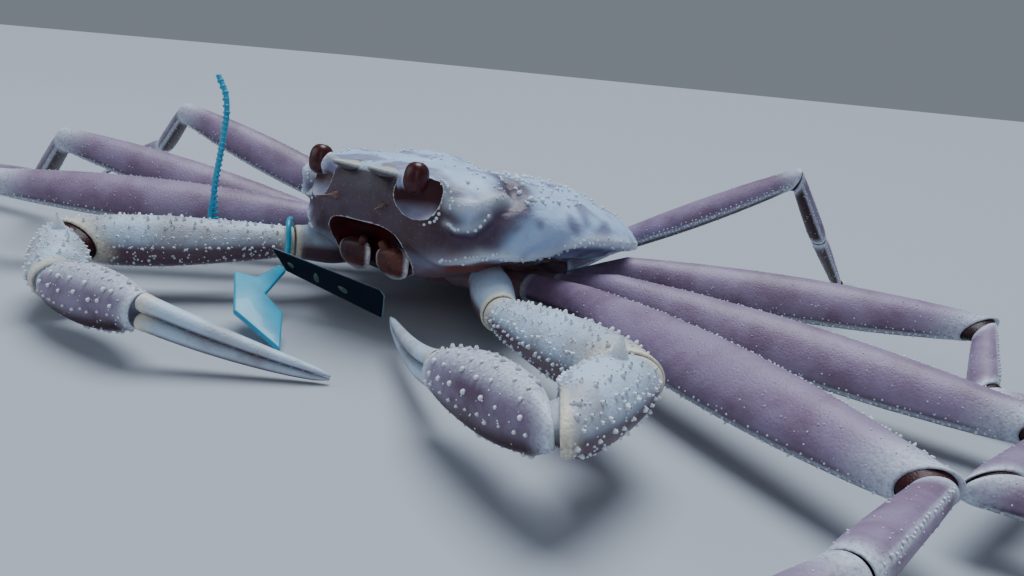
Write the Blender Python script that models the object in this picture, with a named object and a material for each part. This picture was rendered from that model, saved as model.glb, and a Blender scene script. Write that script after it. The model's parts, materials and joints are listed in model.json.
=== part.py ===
# A snow crab as a still, life-size model that rests on a flat floor.
# The crab faces -Y, its left side is +X, up is +Z and the floor is z = 0.
# Sizes below are in millimetres. Meshes are made in world millimetres, then placed in metres.
import math
import random

import bmesh
import bpy
from mathutils import Matrix, Vector

MM = 0.001
GAP = 0.3

# The body: carapace 118 wide, nose pitched up as the crab sits
BODY_HEIGHT = 34.6
BODY_PITCH = 11.5
TUNNEL_TOP = -14

# Stations of the carapace from snout to rear: y, half width, height above the margin, depth below it
SHELL = (
    (-61, 13, 7, 4), (-58, 25, 10, 12), (-51, 37, 12, 21), (-44, 44, 14, 25), (-38, 47, 15, 25),
    (-28, 51, 16, 22), (-14, 54, 16, 18), (2, 57, 16, 16), (18, 59, 15, 14), (34, 56, 13, 11),
    (44, 49, 11, 8), (51, 38, 8, 6), (56, 24, 5, 4), (58, 12, 3, 2),
)
# Swellings of the back: x, y, spread across, spread along, height
LOBES = (
    (0, -24, 15, 14, 3), (35, -32, 9, 9, 2), (33, 12, 17, 22, 3), (0, 20, 11, 12, 2),
)
EYE_CENTRE = (21, -60, 8)
EYE_SIZE = (3.7, 3.7, 5)
EYE_ROOT = (12, -57, 4.5)
EYESTALK_SIZE = 5.5
ORBIT_CENTRE = (23, -62, 4)
ORBIT_SIZE = (9.5, 9, 9.5)
MOUTH_TOP = -9
MOUTH_HALF = 17.5
MOUTH_BACK = -43
# Stations of the plates that close the mouth: height, half width, place along the body
MOUTH_PLATE = ((-15.5, 4.5, -48.5), (-18, 6.8, -49.5), (-22, 7, -49), (-25, 5.5, -47.5), (-26.5, 3, -46.5))
ANTENNA_ROOT = (9, -57.5, -2)
ANTENNA_TIP = (13, -67, -4)
ANTENNA_SIZE = 3.6
FEELER = ((0, 1, 1), (0.4, 0.75, 0.75), (0.5, 0.4, 0.4), (1, 0.2, 0.2))

# Stations of the breast plate: y, half width, depth below the carapace's margin
BREAST = (
    (-38, 14, 21), (-33, 20, 22), (-24, 25, 23.5), (-10, 27, 24), (5, 28, 23), (20, 25, 21.5), (34, 19, 19),
    (41, 14, 17.5), (45, 9, 16),
)

# Stations of the folded abdomen: y, half width, height of its upper face
ABDOMEN = (
    (-18, 3, -25.2), (-8, 8, -25.4), (10, 10, -24.6), (28, 11, -22.6), (41, 10, -20), (47, 8, -17),
)
ABDOMEN_THICKNESS = 3

# Hips in the body's frame, for the left side: x, y, z
HIPS = {1: (30, -24, -21), 2: (38, -8, -22), 3: (40, 8, -21), 4: (36, 24, -20), 5: (27, 36, -15)}

# Each limb's segments from the hip out: length, heading from +X, height of the far joint above the floor
LIMBS = {
    ("left", 1): ((27, -44, 15), (73, -31, 23), (32, -92, 22.5), (48, 158, 16), (54, 145, 11)),
    ("right", 1): ((26, -115, 21), (75, -132, 19), (32, -35, 13), (48, 0, 16), (55, 31, 2)),
    ("left", 2): ((28, -16, 17), (125, -28, 18), (50, -99, 23), (71, -120, 12), (49, -123, 0)),
    ("right", 2): ((26, -140, 24), (119, -141, 30), (49, -171, 17), (74, -141, 9), (49, -73, 0)),
    ("left", 3): ((27, -8, 18), (132, -5, 13), (52, -105, 15), (73, 10, 12), (50, 6, 0)),
    ("right", 3): ((27, -151, 17), (122, -151, 43), (52, 167, 18), (79, -173, 15), (50, -121, 0)),
    ("left", 4): ((26, 5, 20), (121, 16, 20), (39, -84, 9), (69, -4, 9), (47, -7, 0)),
    ("right", 4): ((26, -168, 21), (110, -164, 55), (46, 161, 34), (69, 160, 21), (46, -174, 0)),
    ("left", 5): ((24, 71, 20), (81, 11, 59), (34, 70, 34), (46, 84, 9), (32, 50, 0)),
    ("right", 5): ((23, 109, 19), (77, 157, 34), (28, 128, 22), (44, 119, 9), (33, 118, 0)),
}
# Width and thickness of each pair's thigh, and how far its broad face leans to the front
LEG_WIDTH = {2: 20, 3: 19, 4: 18, 5: 14}
LEG_THICKNESS = {2: 12, 3: 11.5, 4: 11, 5: 9}
LEG_LEAN = {2: 40, 3: 40, 4: 40, 5: 25}

# Outlines along a segment: share of its length, share of the width, share of the thickness
ISCHIUM = ((0, 0.5, 0.85), (0.5, 0.58, 0.9), (1, 0.62, 0.9))
MERUS = ((0, 0.62, 0.9), (0.2, 0.86, 0.97), (0.45, 1, 1), (0.7, 0.92, 0.95), (0.9, 0.7, 0.83), (1, 0.54, 0.7))
CARPUS = ((0, 0.38, 0.6), (0.2, 0.44, 0.66), (0.6, 0.5, 0.72), (0.88, 0.54, 0.72), (1, 0.46, 0.62))
PROPODUS = ((0, 0.45, 0.64), (0.2, 0.48, 0.66), (0.6, 0.42, 0.56), (1, 0.32, 0.46))
FOOT_CUT = 0.97
DACTYL = ((0, 0.34, 0.46), (0.4, 0.28, 0.38), (0.8, 0.17, 0.24), (1, 0.06, 0.1))

# The claw arms: thickness of each part
ARM_SIZE = 18
ARM_LEAN = 60
ARM_ISCHIUM = ((0, 0.7, 0.7), (0.45, 0.84, 0.8), (1, 0.66, 0.64))
ARM_MERUS = ((0, 0.6, 0.6), (0.25, 0.8, 0.78), (0.6, 1, 0.92), (0.88, 0.96, 0.9), (1, 0.76, 0.74))
ARM_CARPUS = ((0, 0.7, 0.7), (0.18, 0.94, 0.9), (0.5, 1.05, 1), (0.82, 0.95, 0.9), (1, 0.62, 0.6))
PALM = ((0, 0.5, 0.46), (0.12, 0.84, 0.7), (0.45, 1.05, 0.82), (0.8, 0.88, 0.68), (1, 0.56, 0.5))
FINGER = ((0, 1, 1), (0.35, 0.85, 0.85), (0.7, 0.6, 0.6), (0.92, 0.35, 0.35), (1, 0.12, 0.12))
FINGER_WIDTH = 5.2
FINGER_THICKNESS = 5.8
FINGER_BOW = {"left": 3, "right": 1}

# Rows of spines: degrees round the section from its upper edge, number, first and last share of the length
LEG_SPINES = ((0, 8, 0.1, 0.95), (180, 8, 0.08, 0.93))
ARM_SPINES = {
    "merus": ((0, 7, 0.1, 0.95), (48, 6, 0.15, 0.92), (100, 6, 0.15, 0.95)),
    "carpus": ((0, 3, 0.3, 0.8), (48, 3, 0.2, 0.85), (95, 3, 0.3, 0.8)),
    "palm": ((0, 6, 0.12, 0.92), (50, 5, 0.2, 0.85), (100, 5, 0.15, 0.85), (-60, 4, 0.2, 0.8)),
}
# Heights and root radii of the spines
LEG_SPINE = (1.1, 0.9)
ARM_SPINE = (1.7, 1.2)
SHELL_SPINE = (1.8, 1.4)
SPINE_SINK = 1.2
# Rows on each half of the carapace: degrees from the margin, number, first and last place along the body
SHELL_SPINES = ((6, 9, -50, 50), (-28, 6, -40, 20), (35, 5, -20, 44), (60, 4, -8, 38), (86, 3, -40, 34))

# The tag's tie round the base of the right claw arm, from its head to its tail's end
TIE_RADIUS = 1.1
TIE_PATH = (
    (-33.5, -61.5, 15.5), (-35.5, -58.5, 21), (-40.5, -54, 28.6), (-47.5, -47, 26), (-51.5, -47.5, 17),
    (-60, -56, 16), (-69, -64, 20), (-71, -63, 36), (-72, -59, 51), (-74, -55, 64), (-76, -54, 71),
    (-80, -54, 77),
)
# Planes of the tie's head and of the plate: a corner, a place along the X axis and one on the Y side
HEAD_PLANE = ((-28.4, -68.5, 14.8), (1.6, -93, 2.8), (-16.4, -97, 9.8))
HEAD_OUTLINE = ((-4.5, 0), (-2, -2.5), (15, 4.5), (24, -1), (43, 0), (27, 14), (5, 14.5), (6, 7.5))
HEAD_THICKNESS = 2
PLATE_PLANE = ((-33.7, -63.7, 19.1), (12.3, -60.4, 16.6), (-33.7, -63.9, 7.6))
PLATE_OUTLINE = ((-3.5, -2), (45, 0), (47, 1.5), (47, 9), (4, 4.5))
PLATE_THICKNESS = 1.2

SHELL_COLOR = (0.55, 0.52, 0.62)
LEG_COLOR = (0.45, 0.38, 0.52)
ARM_COLOR = (0.72, 0.67, 0.66)
MOUTH_COLOR = (0.42, 0.3, 0.35)
EYE_COLOR = (0.09, 0.02, 0.03)
TAG_COLOR = (0.05, 0.5, 0.75)
PLATE_COLOR = (0.01, 0.02, 0.06)


def clear_scene():
    for thing in list(bpy.data.objects):
        bpy.data.objects.remove(thing, do_unlink=True)


def new_collection(name, helper=False):
    made = bpy.data.collections.new(name)
    made.hide_render = helper
    bpy.context.scene.collection.children.link(made)
    return made


def new_material(name, color, roughness=0.5, metallic=0.0):
    made = bpy.data.materials.new(name)
    made.use_nodes = True
    shader = made.node_tree.nodes["Principled BSDF"]
    shader.inputs["Base Color"].default_value = (*color, 1)
    shader.inputs["Roughness"].default_value = roughness
    shader.inputs["Metallic"].default_value = metallic
    return made


def body_frame():
    """From the body's frame to the world, in millimetres."""
    return Matrix.Translation((0, 0, BODY_HEIGHT)) @ Matrix.Rotation(math.radians(-BODY_PITCH), 4, "X")


def side_sign(side):
    return 1 if side == "left" else -1


# Curves through named stations


def smooth_between(stations, at):
    """The values of the stations at one place, along a smooth curve through them."""
    last = len(stations) - 1
    here = max(i for i in range(last) if stations[i][0] <= at or i == 0)
    before, start, end = stations[max(here - 1, 0)], stations[here], stations[here + 1]
    after = stations[min(here + 2, last)]
    span = end[0] - start[0]
    t = min(max((at - start[0]) / span, 0), 1)
    values = []
    for k in range(1, len(start)):
        slope_in = (end[k] - before[k]) / (end[0] - before[0]) * span
        slope_out = (after[k] - start[k]) / (after[0] - start[0]) * span
        values.append(
            start[k] * (2 * t**3 - 3 * t**2 + 1) + slope_in * (t**3 - 2 * t**2 + t)
            + end[k] * (3 * t**2 - 2 * t**3) + slope_out * (t**3 - t**2)
        )
    return values


# Making solids


def loft(rings):
    """A closed solid through rings of points that are alike in number."""
    made = bmesh.new()
    rows = [[made.verts.new(p) for p in ring] for ring in rings]
    for low, high in zip(rows, rows[1:]):
        for k in range(len(low)):
            made.faces.new((low[k], low[k - 1], high[k - 1], high[k]))
    made.faces.new(rows[0])
    made.faces.new(rows[-1][::-1])
    bmesh.ops.recalc_face_normals(made, faces=made.faces)
    return made


def add_limb_part(name, rings, segment, material, group):
    """A solid through rings along a segment, with its origin at the segment's near joint."""
    return add_object(name, loft(rings), material, group, joint_frame(segment))


def add_object(name, mesh_data, material, group, frame=None):
    """Puts a solid made in world millimetres into the scene, with its origin at the frame given."""
    frame = frame or Matrix()
    mesh = bpy.data.meshes.new(name)
    mesh_data.transform(Matrix.Scale(MM, 4) @ frame.inverted())
    mesh_data.to_mesh(mesh)
    mesh_data.free()
    mesh.materials.append(material)
    mesh.shade_smooth()
    mesh.set_sharp_from_angle(angle=math.radians(40))
    made = bpy.data.objects.new(name, mesh)
    made.matrix_world = Matrix.Translation(frame.translation * MM) @ frame.to_3x3().to_4x4()
    group.objects.link(made)
    return made


def apply_modifiers(thing):
    bpy.context.view_layer.update()
    evaluated = thing.evaluated_get(bpy.context.evaluated_depsgraph_get())
    mesh = bpy.data.meshes.new_from_object(evaluated)
    thing.modifiers.clear()
    thing.data = mesh


def keep_largest(thing):
    """Drops loose scraps and sealed hollows, so that one closed surface stays."""
    made = bmesh.new()
    made.from_mesh(thing.data)
    left, parts = set(made.verts), []
    while left:
        stack, part = [left.pop()], set()
        while stack:
            vert = stack.pop()
            part.add(vert)
            for edge in vert.link_edges:
                other = edge.other_vert(vert)
                if other in left:
                    left.remove(other)
                    stack.append(other)
        parts.append(part)
    parts.sort(key=len)
    bmesh.ops.delete(made, geom=[v for part in parts[:-1] for v in part], context="VERTS")
    made.to_mesh(thing.data)
    made.free()


def combine(thing, pieces, operation, helpers):
    """One Boolean on a node with a collection of closed pieces, which are removed after it."""
    if not pieces:
        return
    group = new_collection(thing.name + "_pieces", helper=True)
    for piece in pieces:
        helpers.objects.unlink(piece)
        group.objects.link(piece)
        piece.hide_render = True
        piece.display_type = "WIRE"
    modifier = thing.modifiers.new(operation.lower(), "BOOLEAN")
    modifier.operation = operation
    modifier.operand_type = "COLLECTION"
    modifier.collection = group
    modifier.solver = "EXACT"
    apply_modifiers(thing)
    for piece in list(group.objects):
        bpy.data.objects.remove(piece, do_unlink=True)
    bpy.data.collections.remove(group)
    keep_largest(thing)


# Limbs


class Segment:
    """One stretch of a limb, a tapering tube between two joints whose ends meet their neighbours' planes."""

    def __init__(self, start, end, outline, width, thickness, lean, bow=0.0, side=0, room=0.0):
        self.start, self.end = Vector(start), Vector(end)
        self.along = (self.end - self.start).normalized()
        level = Vector((0, 0, 1)).cross(self.along).normalized()
        rise = self.along.cross(level)
        angle = math.radians(lean)
        self.broad = level * math.cos(angle) + rise * math.sin(angle)
        self.flat = self.along.cross(self.broad)
        self.outline, self.width, self.thickness = outline, width, thickness
        self.bow, self.side, self.room = bow, side, room
        self.start_plane = self.end_plane = None

    def section(self, t, angle):
        """A point on the surface at a share t of the length, before the ends are cut to their planes.

        A side of 1 or -1 sets the tube just above or below the centre line, as one of two fingers."""
        width, thickness = smooth_between(self.outline, t)
        half = 0.5 * self.width * width + self.room
        across = self.broad * (half * math.cos(angle) + self.side * (half + GAP / 2))
        over = self.flat * (0.5 * self.thickness * thickness + self.room) * math.sin(angle)
        centre = self.start.lerp(self.end, t) - self.broad * self.bow * 4 * t * (1 - t)
        return centre + across + over

    def slide(self, point, plane):
        centre, normal = plane
        return point + self.along * ((centre - point).dot(normal) / self.along.dot(normal))

    def point(self, t, angle):
        spot = self.section(t, angle)
        first = self.section(0, angle)
        last = self.section(1, angle)
        begin = self.slide(first, self.start_plane) - first if self.start_plane else Vector()
        finish = self.slide(last, self.end_plane) - last if self.end_plane else Vector()
        return spot + begin * (1 - t) + finish * t

    def outward(self, t, angle):
        width, thickness = smooth_between(self.outline, t)
        slope = self.broad * math.cos(angle) / (self.width * width)
        slope += self.flat * math.sin(angle) / (self.thickness * thickness)
        return slope.normalized()

    def rings(self, shares, sides):
        return [[self.point(t, math.tau * k / sides) for k in range(sides)] for t in shares]


def joints_of(side, pair):
    """The hip and the joints after it, in the world."""
    x, y, z = HIPS[pair]
    places = [body_frame() @ Vector((side_sign(side) * x, y, z))]
    for length, heading, height in LIMBS[side, pair]:
        last = places[-1]
        rise = height - last.z
        run = math.sqrt(length**2 - rise**2)
        turn = math.radians(heading)
        places.append(last + Vector((run * math.cos(turn), run * math.sin(turn), rise)))
    return places


def meet(first, second, gap):
    """Cuts the end of one segment and the start of the next to the plane halfway between their directions."""
    joint, normal = first.end, (first.along + second.along).normalized()
    first.end_plane = (joint - normal * gap / 2, normal)
    second.start_plane = (joint + normal * gap / 2, normal)


def joint_gap(room):
    """Pieces keep a gap at a joint, and their sockets run into each other there."""
    return -GAP if room else GAP


def steps(count):
    return [k / count for k in range(count + 1)]


def joint_frame(segment):
    turned = Matrix((segment.along, segment.broad, segment.flat)).transposed().to_4x4()
    return Matrix.Translation(segment.start) @ turned


def leg_segments(side, pair, room=0.0):
    """The five stretches of a walking leg, the first two joined but for the last pair's sharp bend."""
    places = joints_of(side, pair)
    lean = LEG_LEAN[pair] * side_sign(side)
    outlines = (ISCHIUM, MERUS, CARPUS, PROPODUS, DACTYL)
    chain = [
        Segment(start, end, outline, LEG_WIDTH[pair], LEG_THICKNESS[pair], lean, room=room)
        for start, end, outline in zip(places, places[1:], outlines)
    ]
    for near, far in zip([hip_segment(side, pair), *chain], chain):
        meet(near, far, joint_gap(room))
    if pair != 5:
        meet(*chain[:2], 0)
    return chain


def thigh_rings(side, pair, room=0.0):
    """The rings of the ischium and merus, as one tube or as two."""
    ischium, merus = leg_segments(side, pair, room)[:2]
    if pair == 5:
        return [ischium.rings(steps(2), 10), merus.rings(steps(8), 10)]
    return [ischium.rings(steps(2)[:-1], 10) + merus.rings(steps(8), 10)]


def build_leg(side, pair, looks, group, helpers):
    ischium, merus, carpus, propodus, dactyl = leg_segments(side, pair)
    name = f"{side}_leg_{pair}"
    tubes = thigh_rings(side, pair)
    if len(tubes) == 2:
        add_limb_part(name + "_ischium", tubes[0], ischium, looks["leg"], group)
    node = add_limb_part(name + "_merus", tubes[-1], merus, looks["leg"], group)
    add_spikes(node, segment_spikes(merus, LEG_SPINES, LEG_SPINE, pair, side == "right"), helpers)
    add_limb_part(name + "_carpus", carpus.rings(steps(4), 10), carpus, looks["leg"], group)
    add_limb_part(name + "_propodus", propodus.rings(steps(5), 10), propodus, looks["leg"], group)
    foot = loft(dactyl.rings([t * FOOT_CUT for t in steps(4)], 8))
    flatten_foot(foot)
    add_object(name + "_dactyl", foot, looks["arm"], group, joint_frame(dactyl))


def flatten_foot(mesh_data):
    """The tip's small flat on the floor."""
    for vert in mesh_data.verts:
        vert.co.z = max(vert.co.z, 0)


def arm_segments(side, room=0.0):
    """The ischium, merus, carpus and palm of a claw arm."""
    places = joints_of(side, 1)
    outlines = (ARM_ISCHIUM, ARM_MERUS, ARM_CARPUS, PALM)
    leans = (ARM_LEAN * side_sign(side),) * 3 + (90,)
    chain = [
        Segment(start, end, outline, ARM_SIZE, ARM_SIZE, lean, room=room)
        for start, end, outline, lean in zip(places, places[1:], outlines, leans)
    ]
    for near, far in zip([hip_segment(side, 1), *chain], chain):
        meet(near, far, joint_gap(room))
    return chain


def build_claw_arm(side, looks, group, helpers):
    ischium, merus, carpus, palm = arm_segments(side)
    name = f"{side}_claw"
    add_limb_part(name + "_ischium", ischium.rings(steps(2), 10), ischium, looks["arm"], group)
    for part, label, count in ((merus, "merus", 6), (carpus, "carpus", 5)):
        rings = part.rings(steps(count), 12)
        node = add_limb_part(f"{name}_{label}", rings, part, looks["arm"], group)
        spikes = segment_spikes(part, ARM_SPINES[label], ARM_SPINE, count, side == "right")
        add_spikes(node, spikes, helpers)
    build_hand(side, palm, joints_of(side, 1), looks, group, helpers)


def build_hand(side, palm, places, looks, group, helpers):
    """The palm, the fixed finger below and the moving finger above it."""
    fixed, moving = [
        Segment(places[4], places[5], FINGER, FINGER_WIDTH, FINGER_THICKNESS, 90, FINGER_BOW[side], half)
        for half in (-1, 1)
    ]
    meet(palm, fixed, GAP)
    moving.start_plane = fixed.start_plane
    name = f"{side}_claw"
    node = add_limb_part(name + "_palm", palm.rings(steps(6), 12), palm, looks["arm"], group)
    outer = [(-degrees if side == "left" else degrees, *rest) for degrees, *rest in ARM_SPINES["palm"]]
    add_spikes(node, segment_spikes(palm, outer, ARM_SPINE, 9), helpers)
    for finger, label in ((fixed, "finger"), (moving, "dactyl")):
        add_limb_part(f"{name}_{label}", finger.rings(steps(6), 10), finger, looks["arm"], group)


def hip_segment(side, pair, room=0.0):
    """The coxa: from inside the breast out to the hip."""
    x, y, z = HIPS[pair]
    sign = side_sign(side)
    inner = body_frame() @ Vector((sign * (x - 17), y * 0.8, z))
    outer = body_frame() @ Vector((sign * x, y, z))
    size = 11 if pair == 1 else (9.5 if pair < 5 else 8)
    return Segment(inner, outer, ((0, 1, 1), (1, 1, 1)), size, size, 0, room=room)


def coxa_solid(side, pair, room=0.0):
    """The coxa as a closed solid, cut at the hip to the plane of the leg's first stretch."""
    coxa = hip_segment(side, pair, room)
    places = joints_of(side, pair)
    meet(coxa, Segment(places[0], places[1], ISCHIUM, 1, 1, 0), joint_gap(room))
    return loft(coxa.rings(steps(1), 10))


# Spines


def add_spike(spikes, place, outward, size, draw):
    """One cone with its root sunk below the surface."""
    height, radius = (value * draw.uniform(0.85, 1.15) for value in size)
    turned = outward.to_track_quat("Z", "Y").to_matrix().to_4x4()
    centre = place + outward * (height - SPINE_SINK) / 2
    bmesh.ops.create_cone(
        spikes, cap_ends=True, segments=4, radius1=radius * (height + SPINE_SINK) / height, radius2=0,
        depth=height + SPINE_SINK, matrix=Matrix.Translation(centre) @ turned,
    )


def segment_spikes(segment, rows, size, seed, mirrored=False):
    """Rows of spines along a segment, a little uneven."""
    draw = random.Random(seed)
    spikes = bmesh.new()
    for degrees, count, first, last in rows:
        for k in range(count):
            share = first + (last - first) * (k + draw.uniform(-0.15, 0.15)) / (count - 1)
            share = min(max(share, first), last)
            angle = math.radians((180 - degrees if mirrored else degrees) + draw.uniform(-5, 5))
            add_spike(spikes, segment.point(share, angle), segment.outward(share, angle), size, draw)
    return spikes


def shell_spikes():
    """The rows of tubercles on both halves of the carapace."""
    draw = random.Random(11)
    frame = body_frame()
    spikes = bmesh.new()
    for degrees, count, first, last in SHELL_SPINES:
        for k in range(count):
            y = first + (last - first) * k / (count - 1) + draw.uniform(-1.5, 1.5)
            lift = degrees + draw.uniform(-3, 3)
            for turn in (lift, 180 - lift):
                angle = math.radians(turn)
                place = shell_point(y, angle)
                along = shell_point(y + 1, angle) - place
                around = shell_point(y, angle + 0.05) - place
                outward = around.cross(along).normalized()
                if outward.dot(place) < 0:
                    outward.negate()
                add_spike(spikes, frame @ place, frame.to_3x3() @ outward, SHELL_SPINE, draw)
    return spikes


def add_spikes(thing, spikes, helpers):
    """Fuses a node's spines to it with one Boolean."""
    combine(thing, [add_object("spikes", spikes, thing.data.materials[0], helpers)], "UNION", helpers)


# The body


def shell_point(y, angle):
    """A point of the carapace in the body's frame: angle 0 is the left margin, a quarter turn is the back."""
    half, top, depth = smooth_between(SHELL, y)
    across, up = math.cos(angle), math.sin(angle)
    x = half * math.copysign(abs(across) ** (0.8 if up > 0 else 1), across)
    if up <= 0:
        return Vector((x, y, depth * up))
    swell = sum(
        height * math.exp(-(((abs(x) - cx) / sx) ** 2) - ((y - cy) / sy) ** 2)
        for cx, cy, sx, sy, height in LOBES
    )
    return Vector((x, y, top * up**0.9 + swell * up))


def shell_rows(count):
    """Places along the body, closer together towards both ends."""
    first, last = SHELL[0][0], SHELL[-1][0]
    middle, reach = (first + last) / 2, (last - first) / 2
    return [middle - reach * math.cos(math.pi * k / count) for k in range(count + 1)]


def ellipsoid(name, centre, size, helpers, frame, material, segments=12):
    made = bmesh.new()
    bmesh.ops.create_uvsphere(made, u_segments=segments, v_segments=segments // 2 + 1, radius=1)
    made.transform(frame @ Matrix.Translation(centre) @ Matrix.Diagonal((*size, 1)))
    return add_object(name, made, material, helpers)


def box(name, centre, size, helpers, frame, material):
    made = bmesh.new()
    bmesh.ops.create_cube(made, size=1)
    made.transform(frame @ Matrix.Translation(centre) @ Matrix.Diagonal((*size, 1)))
    return add_object(name, made, material, helpers)


def build_carapace(looks, group, helpers):
    frame = body_frame()
    sides = 32
    rings = [
        [frame @ shell_point(y, math.tau * k / sides) for k in range(sides)] for y in shell_rows(18)
    ]
    shell = add_object("carapace", loft(rings), looks["shell"], group, frame)
    raised = [rostrum_horn(sign, looks, helpers, frame) for sign in (1, -1)]
    raised.append(add_object("spikes", shell_spikes(), looks["shell"], helpers))
    combine(shell, raised, "UNION", helpers)
    combine(shell, carapace_cuts(looks["shell"], helpers), "DIFFERENCE", helpers)


def carapace_cuts(material, helpers):
    """The orbits, the mouth, and the sockets of all that meets the carapace."""
    frame = body_frame()
    cuts = []
    for sign in (1, -1):
        centre = (sign * ORBIT_CENTRE[0], *ORBIT_CENTRE[1:])
        cuts.append(ellipsoid("orbit_cut", centre, ORBIT_SIZE, helpers, frame, material))
    mouth_centre = (0, MOUTH_BACK - 20, MOUTH_TOP - 20)
    cuts.append(box("mouth_cut", mouth_centre, (2 * MOUTH_HALF, 40, 40), helpers, frame, material))
    sockets = [breast_solid(GAP)]
    for side in ("left", "right"):
        sockets.append(loft(eyestalk(side, GAP).rings(steps(2), 8)))
        sockets.append(loft(antenna(side, GAP).rings(steps(3), 6)))
        sockets += [loft(piece.rings(steps(2), 10)) for piece in arm_segments(side, GAP)[:2]]
        sockets += [coxa_solid(side, pair, GAP) for pair in HIPS]
        sockets += [loft(rings) for pair in LEG_WIDTH for rings in thigh_rings(side, pair, GAP)]
    cuts += [add_object("socket_cut", socket, material, helpers) for socket in sockets]
    return cuts


def rostrum_horn(sign, looks, helpers, frame):
    """One of the two short flat spines of the snout."""
    made = bmesh.new()
    bmesh.ops.create_cone(made, cap_ends=True, segments=8, radius1=5, radius2=0.6, depth=16)
    aim = Matrix.Rotation(math.radians(90), 4, "X") @ Matrix.Diagonal((1, 0.4, 1, 1))
    made.transform(frame @ Matrix.Translation((sign * 5.5, -60, 5)) @ aim)
    return add_object("horn", made, looks["shell"], helpers)


def breast_solid(room=0.0):
    """The breast plate without its coxae. With room it is the tunnel that the carapace has for it."""
    frame = body_frame()
    rings = []
    last = len(BREAST) - 1
    for k, (y, half, depth) in enumerate(BREAST):
        y += room * ((k == last) - (k == 0))
        top = -min(-TUNNEL_TOP, smooth_between(SHELL, y)[2] - 1) - GAP + room
        half += room
        depth = 40 if room else depth
        low = [(0.75, -depth), (0.3, -depth - 0.5), (-0.3, -depth - 0.5), (-0.75, -depth)]
        outline = [(1, top), (1, top - 1.5), *low, (-1, top - 1.5), (-1, top)]
        rings.append([frame @ Vector((half * x, y, z)) for x, z in outline])
    return loft(rings)


def build_thorax(looks, group, helpers):
    """The breast plate with the coxae, under the carapace."""
    breast = add_object("thorax", breast_solid(), looks["belly"], group, body_frame())
    hips = [
        add_object("coxa", coxa_solid(side, pair), looks["belly"], helpers)
        for side in ("left", "right") for pair in HIPS
    ]
    combine(breast, hips, "UNION", helpers)


def build_abdomen(looks, group):
    """The narrow flap folded under the breast."""
    frame = body_frame()
    rings = []
    for y, half, top in ABDOMEN:
        low = top - ABDOMEN_THICKNESS
        outline = ((half, top), (half * 0.8, low), (-half * 0.8, low), (-half, top))
        rings.append([frame @ Vector((x, y, z)) for x, z in outline])
    add_object("abdomen", loft(rings), looks["belly"], group, frame)


def eyestalk(side, room=0.0):
    """The stalk from the inner wall of the orbit to the cornea. With room it is the stalk's socket."""
    sign = side_sign(side)
    frame = body_frame()
    root = frame @ Vector((sign * EYE_ROOT[0], *EYE_ROOT[1:]))
    centre = frame @ Vector((sign * EYE_CENTRE[0], *EYE_CENTRE[1:]))
    reach = (centre - root).length - EYE_SIZE[0] - GAP
    end = root.lerp(centre, reach / (centre - root).length)
    root -= (end - root).normalized() * room
    outline = ((0, 0.9, 0.9), (0.6, 1, 1), (1, 0.95, 0.95))
    return Segment(root, end, outline, EYESTALK_SIZE, EYESTALK_SIZE, 0, room=room)


def build_eye(side, looks, group):
    centre = (side_sign(side) * EYE_CENTRE[0], *EYE_CENTRE[1:])
    ellipsoid(f"{side}_cornea", centre, EYE_SIZE, group, body_frame(), looks["eye"])
    stalk = eyestalk(side)
    add_limb_part(f"{side}_eyestalk", stalk.rings(steps(2), 8), stalk, looks["shell"], group)


def antenna(side, room=0.0):
    sign = side_sign(side)
    frame = body_frame()
    root = frame @ Vector((sign * ANTENNA_ROOT[0], *ANTENNA_ROOT[1:]))
    tip = frame @ Vector((sign * ANTENNA_TIP[0], *ANTENNA_TIP[1:]))
    root -= (tip - root).normalized() * room
    return Segment(root, tip, FEELER, ANTENNA_SIZE, ANTENNA_SIZE, 0, room=room)


def build_antenna(side, looks, group):
    feeler = antenna(side)
    add_limb_part(f"{side}_antenna", feeler.rings(steps(5), 6), feeler, looks["arm"], group)


def build_maxilliped(side, looks, group, helpers):
    """One of the two plates that close the mouth, with the stem that it hangs by and its palp."""
    sign = side_sign(side)
    frame = body_frame()
    rings = []
    for z, half, y in MOUTH_PLATE:
        centre = Vector((sign * 8.6, y, z))
        edge = half * 0.6
        flat = [(half, 0), (edge, 1.4), (-edge, 1.4), (-half, 0), (-edge, -1.4), (edge, -1.4)]
        rings.append([frame @ (centre + Vector((x, depth, 0))) for x, depth in flat])
    plate = add_object(f"{side}_maxilliped", loft(rings), looks["belly"], group, frame)
    stem = Segment(
        frame @ Vector((sign * 9, -49, -20)), frame @ Vector((sign * 9, MOUTH_BACK - GAP, -20)),
        ((0, 1, 1), (1, 1, 1)), 6, 5, 0,
    )
    palp = Segment(
        frame @ Vector((sign * 5.5, -49.8, -17)), frame @ Vector((sign * 3, -53, -12.5)),
        ((0, 1, 1), (1, 0.7, 0.7)), 3.2, 3.2, 0,
    )
    pieces = [
        add_object("mouth_piece", loft(piece.rings(steps(2), 8)), looks["belly"], helpers)
        for piece in (stem, palp)
    ]
    combine(plate, pieces, "UNION", helpers)


# The tag: a tie with its arrow-shaped head, and the plate that it holds


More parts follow.
